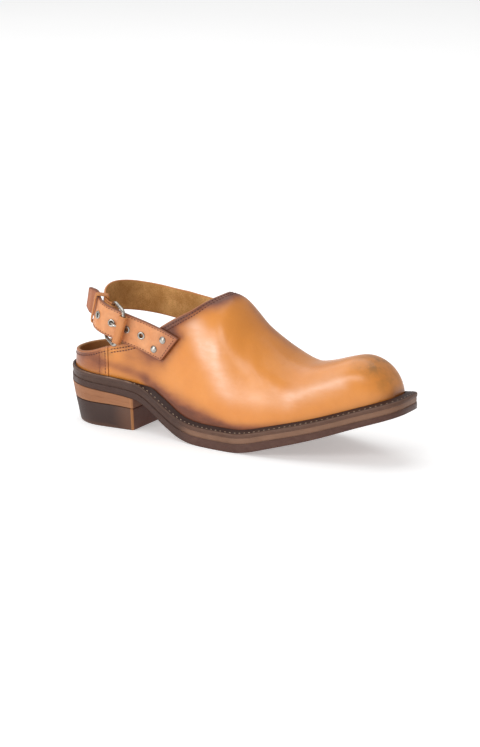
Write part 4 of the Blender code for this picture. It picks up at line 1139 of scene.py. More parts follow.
def box_cutter(centre, size):
    points = [
        centre + BUCKLE_AXIS * size[0] * i + BUCKLE_UP * size[1] * j + OUTWARD * size[2] * k
        for i in (-0.5, 0.5) for j in (-0.5, 0.5) for k in (-0.5, 0.5)
    ]
    return points, [(0, 1, 3, 2), (4, 6, 7, 5), (0, 4, 5, 1), (2, 3, 7, 6), (0, 2, 6, 4), (1, 5, 7, 3)]


# %% The strap
def add_band(name, node, slot, rows, thickness, closed=False, softness=0.42):
    points, faces, values = band(rows, thickness, closed, softness)
    return add_piece(name, points, faces, [node], slot, values)


def strap_rows():
    rows = []
    for distance in FOLD_LENGTH * np.arange(12, 0, -1) / 12:
        at, _, up, outward = route_frame(distance)
        rows.append(across(at + outward * fold_lift(distance), up, STRAP_WIDTH, 9))
    for turn in np.linspace(np.pi / 2, -np.pi / 2, 17):
        centre = HINGE + FOLD_OFFSET * (math.sin(turn) * OUTWARD + math.cos(turn) * BUCKLE_AXIS)
        rows.append(across(centre, BUCKLE_UP, STRAP_WIDTH, 9))
    for distance in np.linspace(0.0015, RUN[-1], 150)[1:-1]:
        at, _, up, _ = route_frame(distance)
        rows.append(across(at, up, STRAP_WIDTH, 9))
    return np.array(rows + sewn_rows())


strap = add_band("heel_strap", "back_strap", "suede_lining", strap_rows(), STRAP_THICK)
reach = FOLD_OFFSET + 2 * STRAP_THICK
slot_centre = HINGE + BUCKLE_AXIS * (reach - SLOT_BACK) / 2
cut_holes(strap, [box_cutter(slot_centre, (reach + SLOT_BACK, SLOT_WIDTH, SLOT_DEPTH))])

# %% The tab and its tail
TAB_AT_HINGE = FOLD_OFFSET + STRAP_THICK / 2 + 2 * GAP + TAB_THICK / 2
TAB_COLUMNS, TAB_SLANT_RUN, TAB_FREE = 13, 0.020, 0.012


def tab_depth(along, at):
    """Where the tab's middle lies outward: on the upper in front, over the strap's fold at the hinge."""
    free = HINGE[1] - TAB_AT_HINGE + TAB_DIP * min(1.0, max(0.0, along / BUCKLE_REACH))
    wall = beside_wall(at[0], at[2], -1, GAP + TAB_THICK / 2 + TAB_CLEAR)[1]
    ease = eased(min(1.0, max(0.0, (along - TAB_FREE) / TAB_SETTLE)))
    return min(wall, free * (1 - ease) + wall * ease)


def tab_row(along, count=TAB_COLUMNS):
    if along >= 0:
        row = across(HINGE + BUCKLE_AXIS * along, BUCKLE_UP, STRAP_WIDTH, count)
        slant = max(0.0, (along - TAB_REACH + TAB_SLANT_RUN) / TAB_SLANT_RUN)
        placed = []
        for k, point in enumerate(row):
            point = point + BUCKLE_AXIS * TAB_SLANT * slant * (k / (count - 1) - 0.5)
            placed.append(np.array([point[0], tab_depth(along, point), point[2]]))
        return placed
    held = min(-along, KEEPER_PLACE + KEEPER_WIDTH / 2)
    loose = -along - held
    at, direction, up, outward = route_frame(held)
    lift = fold_lift(held) + STRAP_THICK / 2 + 2 * GAP + TAB_THICK / 2
    turn = TAIL_SPRING * min(1.0, loose / TAIL_BEND)
    centre = at + outward * (lift + loose * math.sin(turn)) + direction * loose * math.cos(turn)
    tail = max(0.0, 1 - (TAIL_LENGTH + along) / TAIL_NARROWING)
    width = STRAP_WIDTH * (1 - 0.25 * tail * tail)
    return across(centre + up * TAIL_RISE * loose, up, width, count)


def tab_place(along, rise=0.0):
    """Middle of the tab and its outward direction."""
    row, ahead = np.array(tab_row(along, 5)), np.array(tab_row(along + 0.001, 5))
    k = (rise / STRAP_WIDTH + 0.5) * 4
    low = int(min(3, k))
    here = row[low] * (1 - k + low) + row[low + 1] * (k - low)
    there = ahead[low] * (1 - k + low) + ahead[low + 1] * (k - low)
    outward = unit(np.cross(unit(there - here), unit(row[low + 1] - row[low])))
    return here, outward if outward[1] <= 0 else -outward


print("tab at the outer bar:", tab_place(BUCKLE_REACH)[0])

# %% The tab's leather
tab_alongs = np.concatenate([TAB_REACH * np.arange(70, -1, -1) / 70, -TAIL_LENGTH * np.arange(1, 41) / 40])
tab_grid = np.array([tab_row(along) for along in tab_alongs])
tab = add_band("buckle_tab_leather", "buckle_tab", "tan_leather", tab_grid, TAB_THICK, softness=0.30)
CUT_REACH = 0.004


def round_cutter(along, rise, radius):
    centre, outward = tab_place(along, rise)
    path = [centre - outward * CUT_REACH, centre + outward * CUT_REACH]
    return wire(path, [radius, radius], sides=36)


tab_cutters = [round_cutter(along, 0.0, EYELET_HOLE) for along in EYELETS]
cut_holes(tab, tab_cutters + [round_cutter(along, rise, RIVET_HOLE) for along, rise in RIVETS])

# %% Stitches round the tab
tab_normals = grid_normals(tab_grid, False)
tab_out = tab_normals * np.sign(tab_normals[30, 6] @ OUTWARD)
EDGE_IN, TAB_THREAD, STITCHES_FROM = 0.0019, 0.00028, -0.010
INSIDE = EDGE_IN / STRAP_WIDTH


def tab_line(places):
    """Points and outward directions on the tab's face, from (distance along, share across)."""
    points, outs = [], []
    order = np.argsort(tab_alongs)
    run, grids = tab_alongs[order], (tab_grid[order], tab_out[order])
    for along, share in places:
        k = share * (TAB_COLUMNS - 1)
        low = int(min(TAB_COLUMNS - 2, k))
        lines = [grid[:, low] * (1 - k + low) + grid[:, low + 1] * (k - low) for grid in grids]
        here, normal = (point_at(along, run, line) for line in lines)
        outs.append(unit(normal))
        points.append(here + outs[-1] * TAB_THICK / 2)
    return np.array(points), np.array(outs)


front_end = TAB_REACH - EDGE_IN
tab_parts = []
for places in (
    [(along, 1 - INSIDE) for along in np.linspace(STITCHES_FROM, front_end, 90)],
    [(along, INSIDE) for along in np.linspace(STITCHES_FROM, front_end, 90)],
    [(front_end, s) for s in np.linspace(INSIDE, 1 - INSIDE, 30)],
):
    tab_parts += thread_row(*tab_line(places), PITCH, STITCH, TAB_THREAD)
tab_stitches = add_piece("tab_stitches", *join(tab_parts), [], "tan_leather")


# %% Sleeve round the outer bar, and the keeper
def outer_bar_depth():
    """Outward place of the buckle's outer bar, over the tab, the prong and the sleeve."""
    tab_face = tab_place(BUCKLE_REACH)[0][1] - TAB_THICK / 2
    return tab_face - GAP - PRONG_ROOM - SLEEVE_THICK - GAP - BAR_RADIUS


def rounded_ring(centre, axis_a, axis_b, half_a, half_b, power, count):
    turn = 2 * np.pi * np.arange(count) / count
    a = np.sign(np.cos(turn)) * np.abs(np.cos(turn)) ** power * half_a
    b = np.sign(np.sin(turn)) * np.abs(np.sin(turn)) ** power * half_b
    return centre + a[:, None] * axis_a + b[:, None] * axis_b


def evened(loop, count):
    """The same closed line with its points at even spacing."""
    closed = np.concatenate([loop, loop[:1]])
    run = run_along(closed)
    return point_at(np.linspace(0, run[-1], count + 1)[:-1], run, closed).T


bar = HINGE + BUCKLE_AXIS * BUCKLE_REACH
bar[1] = outer_bar_depth()
half_a, half_b = SLEEVE_WIDTH / 2 - SLEEVE_THICK / 2, BAR_RADIUS + GAP + SLEEVE_THICK / 2
sleeve_ring = rounded_ring(bar, BUCKLE_AXIS, OUTWARD, half_a, half_b, 0.7, 240)
sleeve_rows = [across(p, BUCKLE_UP, STRAP_WIDTH - 0.001, 25) for p in evened(sleeve_ring, 64)]
sleeve = add_band("outer_bar_sleeve", "bar_sleeve", "tan_leather", sleeve_rows, SLEEVE_THICK, True)

at, direction, up, outward = route_frame(KEEPER_PLACE)
inside = -STRAP_THICK / 2 - KEEPER_ROOM
outside_reach = fold_lift(KEEPER_PLACE) + STRAP_THICK / 2 + 2 * GAP + TAB_THICK + KEEPER_ROOM
half_b = STRAP_WIDTH / 2 + KEEPER_ROOM + KEEPER_THICK / 2
half_n = (outside_reach - inside) / 2 + KEEPER_THICK / 2
keeper_centre = at + outward * (inside + outside_reach) / 2
keeper_ring = rounded_ring(keeper_centre, up, outward, half_b, half_n, 0.22, 600)
keeper_rows = [across(p, direction, KEEPER_WIDTH, 9) for p in evened(keeper_ring, 120)]
keeper = add_band("tail_keeper", "strap_keeper", "tan_leather", keeper_rows, KEEPER_THICK, True)

# %% [markdown]
# ## Metal
# The buckle is bent from nickel-plated wire. Eyelets are turned rims, rivets low domes. They are
# turned and swept from the same sizes as the solids, only finer, so light runs round them smoothly.

# %% Buckle frame and prong
metal = []


def add_metal(name, node, points, faces):
    metal.append(add_piece(name, points, faces, [node], "nickel"))


half = STRAP_WIDTH / 2 + FRAME_SPARE + BAR_RADIUS
frame_path = []
for sign_a, sign_b, turn in ((1, 1, 0), (0, 1, 90), (0, -1, 180), (1, -1, 270)):
    centre_a = BUCKLE_REACH - FRAME_CORNER if sign_a else FRAME_CORNER
    for angle in np.radians(turn + np.linspace(0, 90, 13)):
        a = centre_a + FRAME_CORNER * math.cos(angle)
        b = sign_b * (half - FRAME_CORNER) + FRAME_CORNER * math.sin(angle)
        point = HINGE + BUCKLE_AXIS * a + BUCKLE_UP * b
        point[1] = HINGE[1] + (bar[1] - HINGE[1]) * a / BUCKLE_REACH
        frame_path.append(point)
add_metal("buckle_wire", "buckle_frame", *wire(frame_path, [BAR_RADIUS] * len(frame_path), True))

PRONG_OVER, PRONG_SHORT = 0.0042, 0.0008
loop = BAR_RADIUS + GAP + PRONG_RADIUS
prong_path = []
for turn in np.radians(-200 + 22 * np.arange(9)):
    prong_path.append(HINGE + loop * (math.cos(turn) * BUCKLE_AXIS + math.sin(turn) * OUTWARD))
eyelet, eyelet_out = tab_place(EYELET_FIRST)
prong_path.append(eyelet - eyelet_out * TAB_THICK * 0.5 - BUCKLE_AXIS * 0.0004)
prong_path.append(eyelet + eyelet_out * TAB_THICK * 0.7)
over = eyelet + BUCKLE_AXIS * PRONG_OVER
over[1] = tab_place(EYELET_FIRST + PRONG_OVER)[0][1] - TAB_THICK / 2 - EYELET_RISE - 3 * GAP - PRONG_RADIUS
tip = HINGE + BUCKLE_AXIS * (BUCKLE_REACH - PRONG_SHORT)
tip[1] = tab_place(BUCKLE_REACH)[0][1] - TAB_THICK / 2 - GAP - PRONG_RADIUS
prong_path = spline(prong_path + [over, tip], 90)
radii = np.full(90, PRONG_RADIUS)
radii[-4:] *= (0.97, 0.86, 0.65, 0.3)
radii[:3] *= (0.4, 0.75, 0.93)
add_metal("buckle_prong_wire", "buckle_prong", *wire(prong_path, radii, sides=16))

# %% Eyelets and rivets
tube_out = EYELET_HOLE - GAP
tube_in = tube_out - EYELET_WALL
base = TAB_THICK / 2 + GAP
eyelet_profile = [(tube_in, -TAB_THICK / 2), (tube_out, -TAB_THICK / 2)]
eyelet_profile += [(tube_out, base), (EYELET_FLANGE, base)]
middle_radius, rim_lift, rim_rise = (EYELET_FLANGE + tube_in) / 2, 0.0001, EYELET_RISE * 0.9
for turn in np.radians(np.arange(0, 161, 20)):
    radius = middle_radius + (EYELET_FLANGE - middle_radius) * math.cos(turn)
    eyelet_profile.append((radius, base + rim_lift + rim_rise * math.sin(turn)))
for number, along in enumerate(EYELETS, 1):
    add_metal(f"eyelet_rim_{number}", f"eyelet_{number}", *turned(*tab_place(along), eyelet_profile))
shank = RIVET_HOLE - GAP
rivet_profile = [(shank, -TAB_THICK / 2), (shank, base), (RIVET_RADIUS, base)]
for turn in np.radians([10, 25, 40, 55, 70, 82]):
    rivet_profile.append((RIVET_RADIUS * math.cos(turn) ** 0.8, base + RIVET_RISE * math.sin(turn)))
for number, (along, rise) in enumerate(RIVETS, 1):
    shape = turned(*tab_place(along, rise), rivet_profile, ring=False)
    add_metal(f"rivet_dome_{number}", f"rivet_{number}", *shape)

# %% [markdown]
# ## Finishes
# Each finish is a Principled shader whose colour, roughness and bump are worked out from noise and
# from the distances stored on the points. Effects that several finishes share, such as grain, mottle
# and fine scratches, are node groups: built once, then placed with each finish's own values.

# %% Short ways to write nodes
tree = None


def srgb(red, green, blue):
    """A colour as seen on a screen, 0 to 255, made linear for the shader."""
    parts = (red, green, blue)
    return tuple(((c / 255 + 0.055) / 1.055) ** 2.4 if c > 10.3 else c / 3294.6 for c in parts) + (1.0,)


class Value:
    """What a node puts out, which can be added, subtracted and multiplied like a number."""

    def __init__(self, socket):
        self.socket = socket

    def __add__(self, other):
        return calc("ADD", self, other)

    def __sub__(self, other):
        return calc("SUBTRACT", self, other)

    def __mul__(self, other):
        return calc("MULTIPLY", self, other)


def link(value, socket):
    """Joins a value to a socket, or sets the socket to a plain number or colour."""
    if isinstance(value, Value):
        tree.links.new(value.socket, socket)
    else:
        socket.default_value = value


def put(kind, inputs, out=0, **settings):
    """Adds a node to the tree in hand, fills its inputs and gives one of its outputs."""
    node = tree.nodes.new(kind)
    for key, value in settings.items():
        setattr(node, key, value)
    for key, value in inputs.items():
        link(value, node.inputs[key])
    return Value(node.outputs[out])


def calc(operation, a, b=0.0, clamp=False):
    return put("ShaderNodeMath", {0: a, 1: b}, operation=operation, use_clamp=clamp)


# %% Nodes that every finish uses
def layered(colour, *coats):
    """Lays coats over a colour, each given as its share and its own colour."""
    for share, coat in coats:
        colour = put("ShaderNodeMix", {0: share, 6: colour, 7: coat}, 2, data_type="RGBA")
    return colour


def ramp(value, low, high, to_low=0.0, to_high=1.0):
    """A smooth step between two values."""
    settings = {0: value, 1: low, 2: high, 3: to_low, 4: to_high}
    return put("ShaderNodeMapRange", settings, interpolation_type="SMOOTHSTEP")


def near(value, centre, width):
    """1 where the value is at the centre, falling to 0 at the width."""
    return ramp(calc("ABSOLUTE", value - centre), 0.0, width, 1.0, 0.0)


def stored(name):
    return put("ShaderNodeAttribute", {}, "Fac", attribute_name=name)


def place(scale=(1.0, 1.0, 1.0)):
    """The piece's own coordinates in metres, stretched per axis."""
    return put("ShaderNodeMapping", {"Vector": put("ShaderNodeTexCoord", {}, "Object"), "Scale": scale})


def noise(vector, scale, detail=3.0, roughness=0.5):
    values = {"Vector": vector, "Scale": scale, "Detail": detail, "Roughness": roughness}
    return put("ShaderNodeTexNoise", values, "Fac")


# %% Shared effects
def new_group(name, *inputs):
    """Starts a node group with a vector, named numbers and one output called Value."""
    global tree
    tree = bpy.data.node_groups.new(name, "ShaderNodeTree")
    tree.interface.new_socket("Vector", in_out="INPUT", socket_type="NodeSocketVector")
    for key, value in inputs:
        tree.interface.new_socket(key, in_out="INPUT", socket_type="NodeSocketFloat").default_value = value
    tree.interface.new_socket("Value", in_out="OUTPUT", socket_type="NodeSocketFloat")
    start, end = tree.nodes.new("NodeGroupInput"), tree.nodes.new("NodeGroupOutput")
    return tree, [Value(socket) for socket in start.outputs], end.inputs[0]


def use(group, *values):
    """Places a shared effect; the values fill its inputs in order, from the vector on."""
    node = tree.nodes.new("ShaderNodeGroup")
    node.node_tree = group
    for socket, value in zip(node.inputs, values):
        link(value, socket)
    return Value(node.outputs[0])


grain, source, result = new_group("leather_grain", ("Scale", 1400.0), ("Wrinkle", 240.0))
spacing = {"Vector": source[0], "Scale": source[1]}
cells = put("ShaderNodeTexVoronoi", spacing, "Distance", feature="SMOOTH_F1")
link(cells * 0.6 + noise(source[0], source[2], 4.0, 0.6) * 0.8, result)

mottle, source, result = new_group("mottle", ("Scale", 30.0), ("Contrast", 2.0))
cloud = noise(source[0], source[1], 5.0, 0.62)
link(calc("ADD", (cloud - 0.5) * source[2], 0.5, clamp=True), result)

scratches, source, result = new_group("fine_scratches", ("Scale", 60.0), ("Amount", 0.5))
stretched = put("ShaderNodeMapping", {"Vector": source[0], "Scale": (1.0, 6.0, 9.0)})
link(near(noise(stretched, source[1], 6.0, 0.7), 0.5, 0.02) * source[2], result)

fibres, source, result = new_group("nap", ("Scale", 900.0), ("Patch", 60.0))
link(noise(source[0], source[1], 5.0, 0.75) * 0.6 + noise(source[0], source[2], 3.0, 0.55) * 0.4, result)
print("shared effects:", [group.name for group in (grain, mottle, scratches, fibres)])


# %% A finish with one shader
def finish(name, **shader_values):
    """Starts a finish, and gives it with the inputs of its Principled shader."""
    global tree
    made = bpy.data.materials.new(name)
    made.use_nodes = True
    tree = made.node_tree
    shader = tree.nodes["Principled BSDF"].inputs
    for key, value in shader_values.items():
        shader[key.replace("_", " ")].default_value = value
    return made, shader


def lay_on(shader, colour, height, roughness=None):
    """Joins colour, relief in millimetres and roughness to the shader."""
    link(colour, shader["Base Color"])
    link(put("ShaderNodeBump", {"Strength": 1.0, "Distance": MILLI, "Height": height}), shader["Normal"])
    if roughness:
        link(roughness, shader["Roughness"])


def dress(made, *pieces):
    for piece in pieces:
        piece.data.materials.append(made)


# %% [markdown]
# ### Burnished calf
# The upper's leather was dyed tan and its edges darkened with wax. The finish mixes a few tans with
# soft noise, then lays the burnish with painted shade, the painted highlights and the soiled toe over them.
# Seams are grooves worked out from the distance to the collar, so they stay sharp at any size.

# %% Upper leather
TAN, DEEP_TAN, HIGHLIGHT_TAN = srgb(228, 146, 60), srgb(218, 132, 44), srgb(244, 190, 156)
BURNISH_AND_SHADE, DARK_BURNISH_AND_SHADE, OLIVE = srgb(146, 80, 42), srgb(98, 50, 30), srgb(140, 98, 46)

calf, shader = finish("burnished_calf", Coat_Roughness=0.24, Specular_IOR_Level=0.35)
spot_at = place()
large, small = use(mottle, spot_at, 26.0, 2.2), use(mottle, spot_at, 120.0, 2.0)
streaky = use(mottle, place((1.0, 1.0, 2.6)), 55.0, 2.4)
dirt = calc("MULTIPLY", stored("smudge"), ramp(small, 0.25, 0.75, 0.35, 1.0), clamp=True)
dark = calc("MULTIPLY", stored("burnish_and_shade"), ramp(streaky, 0.0, 1.0, 0.88, 1.12), clamp=True)
to_collar, to_step = stored("collar_mm"), stored("step_mm")
in_front = ramp(stored("station_mm"), 48.0, 50.0)
two_rows = calc("MAXIMUM", near(to_collar, 2.2, 0.8), near(to_collar, 4.9, 0.8)) * in_front
heel_row = near(to_collar, 2.6, 0.8) * calc("SUBTRACT", 1.0, in_front)
counter_rows = calc("MAXIMUM", near(to_step, 2.4, 0.9), near(to_step, 7.8, 0.9))
grooves = calc("MAXIMUM", calc("MAXIMUM", two_rows, heel_row), counter_rows)
colour = layered(
    TAN,
    (large, DEEP_TAN),
    (stored("deep") * 0.65, srgb(220, 136, 42)),
    (small * 0.26, srgb(206, 126, 56)),
    # Painted highlights, laid on as a pale tan.
    (stored("painted_highlight") * ramp(streaky, 0.1, 0.9, 0.65, 1.0), HIGHLIGHT_TAN),
    (dirt, OLIVE),
    # Burnish colours over the burnish mask, which also carries painted shade.
    (ramp(dark, 0.0, 0.85), BURNISH_AND_SHADE),
    (ramp(dark, 0.60, 1.15), DARK_BURNISH_AND_SHADE),
    (grooves * 0.30, DARK_BURNISH_AND_SHADE),
    (ramp(stored("feather_mm"), 0.0, 2.6, 0.8, 0.0), srgb(84, 44, 30)),
    (near(to_step, -0.1, 0.35) * 0.6, DARK_BURNISH_AND_SHADE),
    (ramp(to_collar, 0.0, 0.7, 0.65, 0.0), srgb(190, 122, 78)),
)
hide, nicks = use(grain, spot_at, 1500.0, 260.0), use(scratches, spot_at, 34.0, 0.5)
height = hide * 0.065 + grooves * -0.16 + nicks * -0.035 + large * 0.35 + small * 0.10
gloss = ramp(large, 0.0, 1.0, 0.36, 0.46) + dirt * 0.12 + nicks * 0.10 + grooves * 0.1
lay_on(shader, colour, height, gloss)
link(ramp(dark, 0.1, 1.0, 0.62, 0.22), shader["Coat Weight"])
print("upper:", calf.name)

# %% Lining
lining_leather, shader = finish("lining_leather", Roughness=0.7)
spot_at = place()
colour = layered(
    srgb(150, 104, 58),
    (use(mottle, spot_at, 70.0, 1.8), srgb(172, 122, 72)),
    (ramp(stored("feather_mm"), 0.0, 14.0, 0.6, 0.0), srgb(96, 64, 40)),
)
lay_on(shader, colour, use(fibres, spot_at, 1400.0, 90.0) * 0.16)
dress(calf, upper)
dress(lining_leather, upper)

# %% [markdown]
# ### Straps, thread and suede
# The strap and the tab are the same calf, with edges inked darker. The strap's inner face is the flesh
# side, which is suede: short fibres that lie in patches, so it has no gloss at all.


# %% Strap leather
def strap_leather(name, light, mid, dark_edge, cut_edge, worn_end=0.0):
    made, shader = finish(name, Coat_Weight=0.08, Coat_Roughness=0.35, Specular_IOR_Level=0.42)
    spot_at = place()
    soft, fine = use(mottle, spot_at, 60.0, 2.2), use(mottle, spot_at, 260.0, 2.2)
    edge, along = stored("edge_mm"), stored("along_mm")
    riveted = ramp(along, 4.0, 18.0, worn_end, 0.0)
    tail_end = ramp(along, 74.0, 84.0, 0.0, 1.4 * worn_end)
    colour = layered(
        light,
        (soft, mid),
        (fine * 0.3, dark_edge),
        (ramp(edge, 0.4, 3.2, 0.55, 0.0), dark_edge),
        (calc("MAXIMUM", riveted, tail_end), srgb(150, 82, 52)),
        (ramp(edge, 0.0, 0.5, 0.75, 0.0), cut_edge),
    )
    hide, nicks = use(grain, spot_at, 1500.0, 300.0), use(scratches, spot_at, 60.0, 0.5)
    height = hide * 0.06 + near(edge, 1.9, 0.8) * -0.10 + nicks * -0.03
    lay_on(shader, colour, height, ramp(soft, 0.0, 1.0, 0.37, 0.50))
    return made


tab_colours = srgb(234, 168, 116), srgb(218, 140, 84), srgb(156, 88, 54), srgb(112, 62, 40)
trim_colours = srgb(214, 144, 86), srgb(196, 122, 66), srgb(184, 112, 60), srgb(206, 138, 78)
dress(strap_leather("tab_calf", *tab_colours, 0.55), tab)
dress(strap_leather("trim_calf", *trim_colours), sleeve, keeper)

# %% Strap with a suede inside
strap_finish, shader = finish("strap_grain_and_suede", Specular_IOR_Level=0.35)
spot_at = place()
grain_face = ramp(stored("side"), -0.15, 0.35, 1.0, 0.0)
tan_side = layered(srgb(232, 152, 84), (use(mottle, spot_at, 50.0, 2.2), srgb(206, 122, 60)))
nap = use(fibres, spot_at, 1100.0, 70.0)
suede_side = layered(
    srgb(180, 124, 62),
    (ramp(nap, 0.32, 0.68), srgb(248, 194, 126)),
    (use(mottle, spot_at, 46.0, 3.2) * 0.70, srgb(170, 116, 58)),
)
cut_edge = ramp(stored("edge_mm"), 0.0, 0.9, 0.7, 0.0)
colour = layered(suede_side, (grain_face, tan_side), (cut_edge, srgb(196, 128, 78)))
hide = use(grain, spot_at, 1500.0, 300.0) * 0.05
height = put("ShaderNodeMix", {0: grain_face, 2: nap * 0.40, 3: hide}, data_type="FLOAT")
lay_on(shader, colour, height, ramp(grain_face, 0.0, 1.0, 0.92, 0.42))
dress(strap_finish, strap)


# %% Thread
def thread_finish(name, light, dark, *pieces):
    made, shader = finish(name, Roughness=0.62)
    spot_at = place()
    colour = layered(light, (use(mottle, spot_at, 180.0, 2.5), dark))
    lay_on(shader, colour, noise(spot_at, 2600.0, 2.0) * 0.12)
    dress(made, *pieces)


thread_finish("rust_thread", srgb(98, 46, 34), srgb(66, 30, 24), collar_stitches, tab_stitches)
thread_finish("waxed_linen_thread", srgb(172, 150, 128), srgb(120, 96, 78), welt_stitches)
thread_finish("tan_thread", srgb(160, 94, 62), srgb(116, 62, 42), counter_stitches)
thread_finish("dark_red_thread", srgb(112, 34, 22), srgb(84, 26, 18), bar_tack)

# %% [markdown]
# ### Sole edges
# The edge of a leather sole is trimmed, inked and waxed with a warm iron. Along the waist it is dark all
# through. In front, the midsole is rubbed to a greyish brown, and the outsole keeps a red-brown ink.


# %% Inked edges
def edge_finish(piece, name, dark_ink, front_ink, top_ink, gloss, rim_highlight=0.0):
    made, shader = finish(name, Coat_Weight=0.05, Coat_Roughness=0.35, Specular_IOR_Level=0.30)
    spot_at = place()
    soft, fine = use(mottle, spot_at, 60.0, 2.6), use(mottle, place((1.0, 1.0, 2.0)), 170.0, 2.2)
    ahead = ramp(stored("station_mm"), 116.0, 136.0)
    coats = [
        (ahead, front_ink),
        (soft * 0.30, dark_ink),
        (fine * 0.30 * ramp(ahead, 0.0, 1.0, 0.35, 1.0), layered(front_ink, (0.5, srgb(150, 118, 96)))),
        (ramp(stored("edge_mm"), 0.15, 0.7), top_ink),
    ]
    # A pale line along the top of the rounded rim: a painted highlight on its bevel.
    if rim_highlight:
        rim_glint = ramp(stored("rim"), 0.15, 0.8) * ramp(soft, 0.3, 0.8, 0.3, 1.0)
        coats.append((rim_glint * rim_highlight, srgb(176, 142, 122)))
    hide, nicks = use(grain, spot_at, 1200.0, 400.0), use(scratches, spot_at, 90.0, 0.6)
    height = hide * 0.08 + nicks * -0.05 + fine * 0.04
    lay_on(shader, layered(dark_ink, *coats), height, ramp(soft, 0.0, 1.0, gloss - 0.08, gloss + 0.12))
    dress(made, piece)


edge_finish(welt, "welt_ink", srgb(62, 40, 32), srgb(92, 62, 48), srgb(50, 28, 21), 0.50, 0.15)
edge_finish(seat_rand, "rand_ink", srgb(74, 51, 42), srgb(74, 51, 42), srgb(58, 38, 31), 0.48, 0.75)
edge_finish(midsole, "midsole_ink", srgb(66, 43, 34), srgb(134, 98, 76), srgb(60, 40, 34), 0.42)
edge_finish(outsole, "outsole_ink", srgb(64, 40, 32), srgb(78, 46, 38), srgb(112, 76, 58), 0.42)
print("sole edges inked")


# %% Stacked heel
def heel_finish(piece, name, sides, front_colour, corner_colour, breast_colour, gloss, streaked):
    made, shader = finish(name, Coat_Weight=0.04, Coat_Roughness=0.4, Specular_IOR_Level=0.30)
    spot_at = place()
    streaks, soft = use(mottle, place((1.0, 1.0, 5.0)), 60.0, 2.0), use(mottle, spot_at, 34.0, 2.4)
    at_front = ramp(stored("station_mm"), 50.0, 68.0) * 0.8
    at_foot = ramp(stored("rise"), 0.0, 0.22, 0.55, 0.0)
    breast = stored("breast")
    # The filed front corners get a lighter colour: a painted highlight where the bevel catches the light.
    corner = near(stored("corner"), 1.0, 0.3) * calc("SUBTRACT", 1.0, near(breast, 1.0, 0.3))
    colour = layered(
        sides[0],
        (soft, sides[1]),
        (streaks * streaked, corner_colour),
        (calc("MAXIMUM", at_front, at_foot), front_colour),
        (breast, breast_colour),
        (corner, corner_colour),
    )
    hide, nicks = use(grain, spot_at, 1100.0, 420.0), use(scratches, spot_at, 80.0, 0.6)
    height = hide * 0.08 + streaks * (0.15 * streaked) + nicks * -0.05
    lay_on(shader, colour, height, ramp(soft, 0.0, 1.0, gloss - 0.06, gloss + 0.12))
    dress(made, piece)


light_sides, dark_sides = (srgb(154, 103, 70), srgb(142, 93, 62)), (srgb(66, 44, 36), srgb(58, 40, 35))
light_marks = srgb(158, 106, 70), srgb(178, 122, 82), srgb(132, 84, 58)
dark_marks = srgb(104, 70, 52), srgb(172, 116, 72), srgb(100, 56, 40)
heel_finish(wedge, "natural_stack", light_sides, *light_marks, 0.48, 0.25)
heel_finish(block, "dark_stack", dark_sides, *dark_marks, 0.44, 0.0)

# %% Insole sock
sock_leather, shader = finish("sock_leather", Roughness=0.62)
spot_at = place()
colour = layered(
    srgb(186, 132, 84),
    (use(mottle, spot_at, 36.0, 2.4), srgb(160, 106, 62)),
    (ramp(stored("edge_mm"), 0.0, 5.0, 0.5, 0.0), srgb(110, 70, 42)),
)
lay_on(shader, colour, use(grain, spot_at, 1300.0, 220.0) * 0.09)
dress(sock_leather, sock)

# %% Nickel
nickel, shader = finish("aged_nickel", Metallic=1.0)
spot_at = place()
tarnish, nicks = use(mottle, spot_at, 420.0, 2.6), use(scratches, spot_at, 300.0, 0.7)
colour = layered(srgb(198, 194, 186), (tarnish, srgb(140, 134, 126)))
lay_on(shader, colour, nicks * -0.02, ramp(tarnish, 0.0, 1.0, 0.16, 0.30) + nicks * 0.12)
dress(nickel, *metal)
print("metal finished:", len(metal), "pieces")

# %% [markdown]
# ## Floor, light and camera
# The shoe stands on a plain pale floor. Large soft lights stand for a studio's softboxes: a wide one
# above, a tall one in front on the left, whose reflection runs down the quarter and along the toe, and
# a small one in front. The camera looks 30 degrees in front of the shoe's side and 14.5 degrees down,
# through a long lens, so the shoe keeps its proportions.

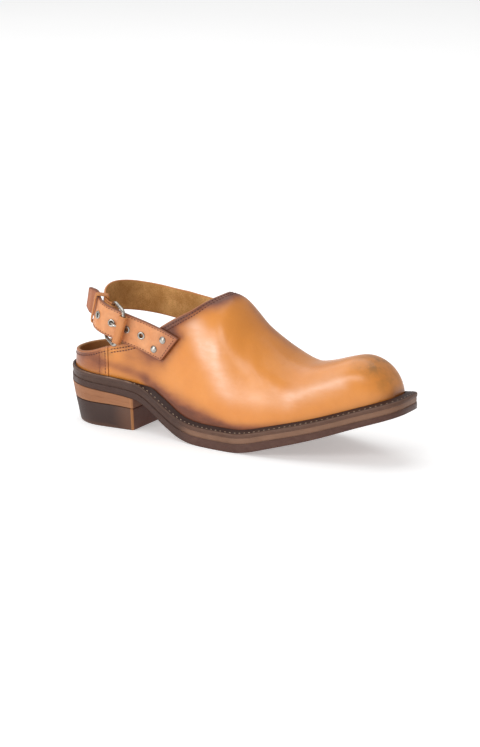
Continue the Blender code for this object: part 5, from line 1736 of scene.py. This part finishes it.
# %% Floor
FLOOR_HALF = 3.0
floor_mesh = bpy.data.meshes.new("studio_floor")
corners = [(x * FLOOR_HALF, y * FLOOR_HALF, 0) for x, y in ((-1, -1), (1, -1), (1, 1), (-1, 1))]
floor_mesh.from_pydata(corners, [], [(0, 1, 2, 3)])
floor = bpy.data.objects.new("studio_floor", floor_mesh)
bpy.context.scene.collection.objects.link(floor)
paper, shader = finish("white_paper", Roughness=0.9, Specular_IOR_Level=0.2, Emission_Strength=0.36)
shader["Emission Color"].default_value = (1.0, 1.0, 1.0, 1.0)
tone = noise(place(), 3.0, 2.0)
link(layered((0.86, 0.86, 0.86, 1.0), (tone, (0.89, 0.89, 0.89, 1.0))), shader["Base Color"])
dress(paper, floor)

# %% Lights
world = bpy.data.worlds.new("studio")
bpy.context.scene.world = world
world.use_nodes = True
background = world.node_tree.nodes["Background"].inputs
background[0].default_value, background[1].default_value = (1.0, 1.0, 1.0, 1.0), 0.45


def aimed(aim):
    """Turns that point a light or camera along a direction."""
    return math.atan2(math.hypot(aim[0], aim[1]), -aim[2]), 0.0, math.atan2(aim[1], aim[0]) - math.pi / 2


def softbox(name, where, towards, size, watts):
    light = bpy.data.lights.new(name, "AREA")
    light.shape, light.size, light.size_y, light.energy = "RECTANGLE", size[0], size[1], watts
    made = bpy.data.objects.new(name, light)
    bpy.context.scene.collection.objects.link(made)
    made.location = where
    made.rotation_euler = aimed(unit(np.array(towards) - np.array(where)))


softbox("top_softbox", (-0.9, 0.4, 2.3), (0.0, 0.2, 0.0), (3.2, 3.0), 38.0)
softbox("left_softbox", (-0.78, -1.58, 0.42), (0.0, 0.0, 0.06), (0.55, 1.1), 8.5)
softbox("front_softbox", (-0.10, -1.60, 1.02), (0.05, 0.0, 0.05), (0.7, 0.5), 6.0)

# %% Camera
AZIMUTH, ELEVATION = math.radians(30.0), math.radians(14.5)
PIXELS_PER_METRE = 1240.0
IMAGE_WIDTH, SENSOR, LENS = 480, 36.0, 200.0
level = math.cos(ELEVATION)
back = np.array([math.sin(AZIMUTH) * level, -math.cos(AZIMUTH) * level, math.sin(ELEVATION)])
target = np.array([0.0, 0.0, 0.052])
distance = LENS * IMAGE_WIDTH / (SENSOR * PIXELS_PER_METRE)
camera_data = bpy.data.cameras.new("camera")
camera_data.lens, camera_data.sensor_width, camera_data.sensor_fit = LENS, SENSOR, "HORIZONTAL"
camera = bpy.data.objects.new("camera", camera_data)
bpy.context.scene.collection.objects.link(camera)
camera.location, camera.rotation_euler = target + back * distance, aimed(-back)
bpy.context.scene.camera = camera
bpy.context.scene.view_settings.view_transform = "Standard"
print("camera stands", round(distance, 2), "m away")
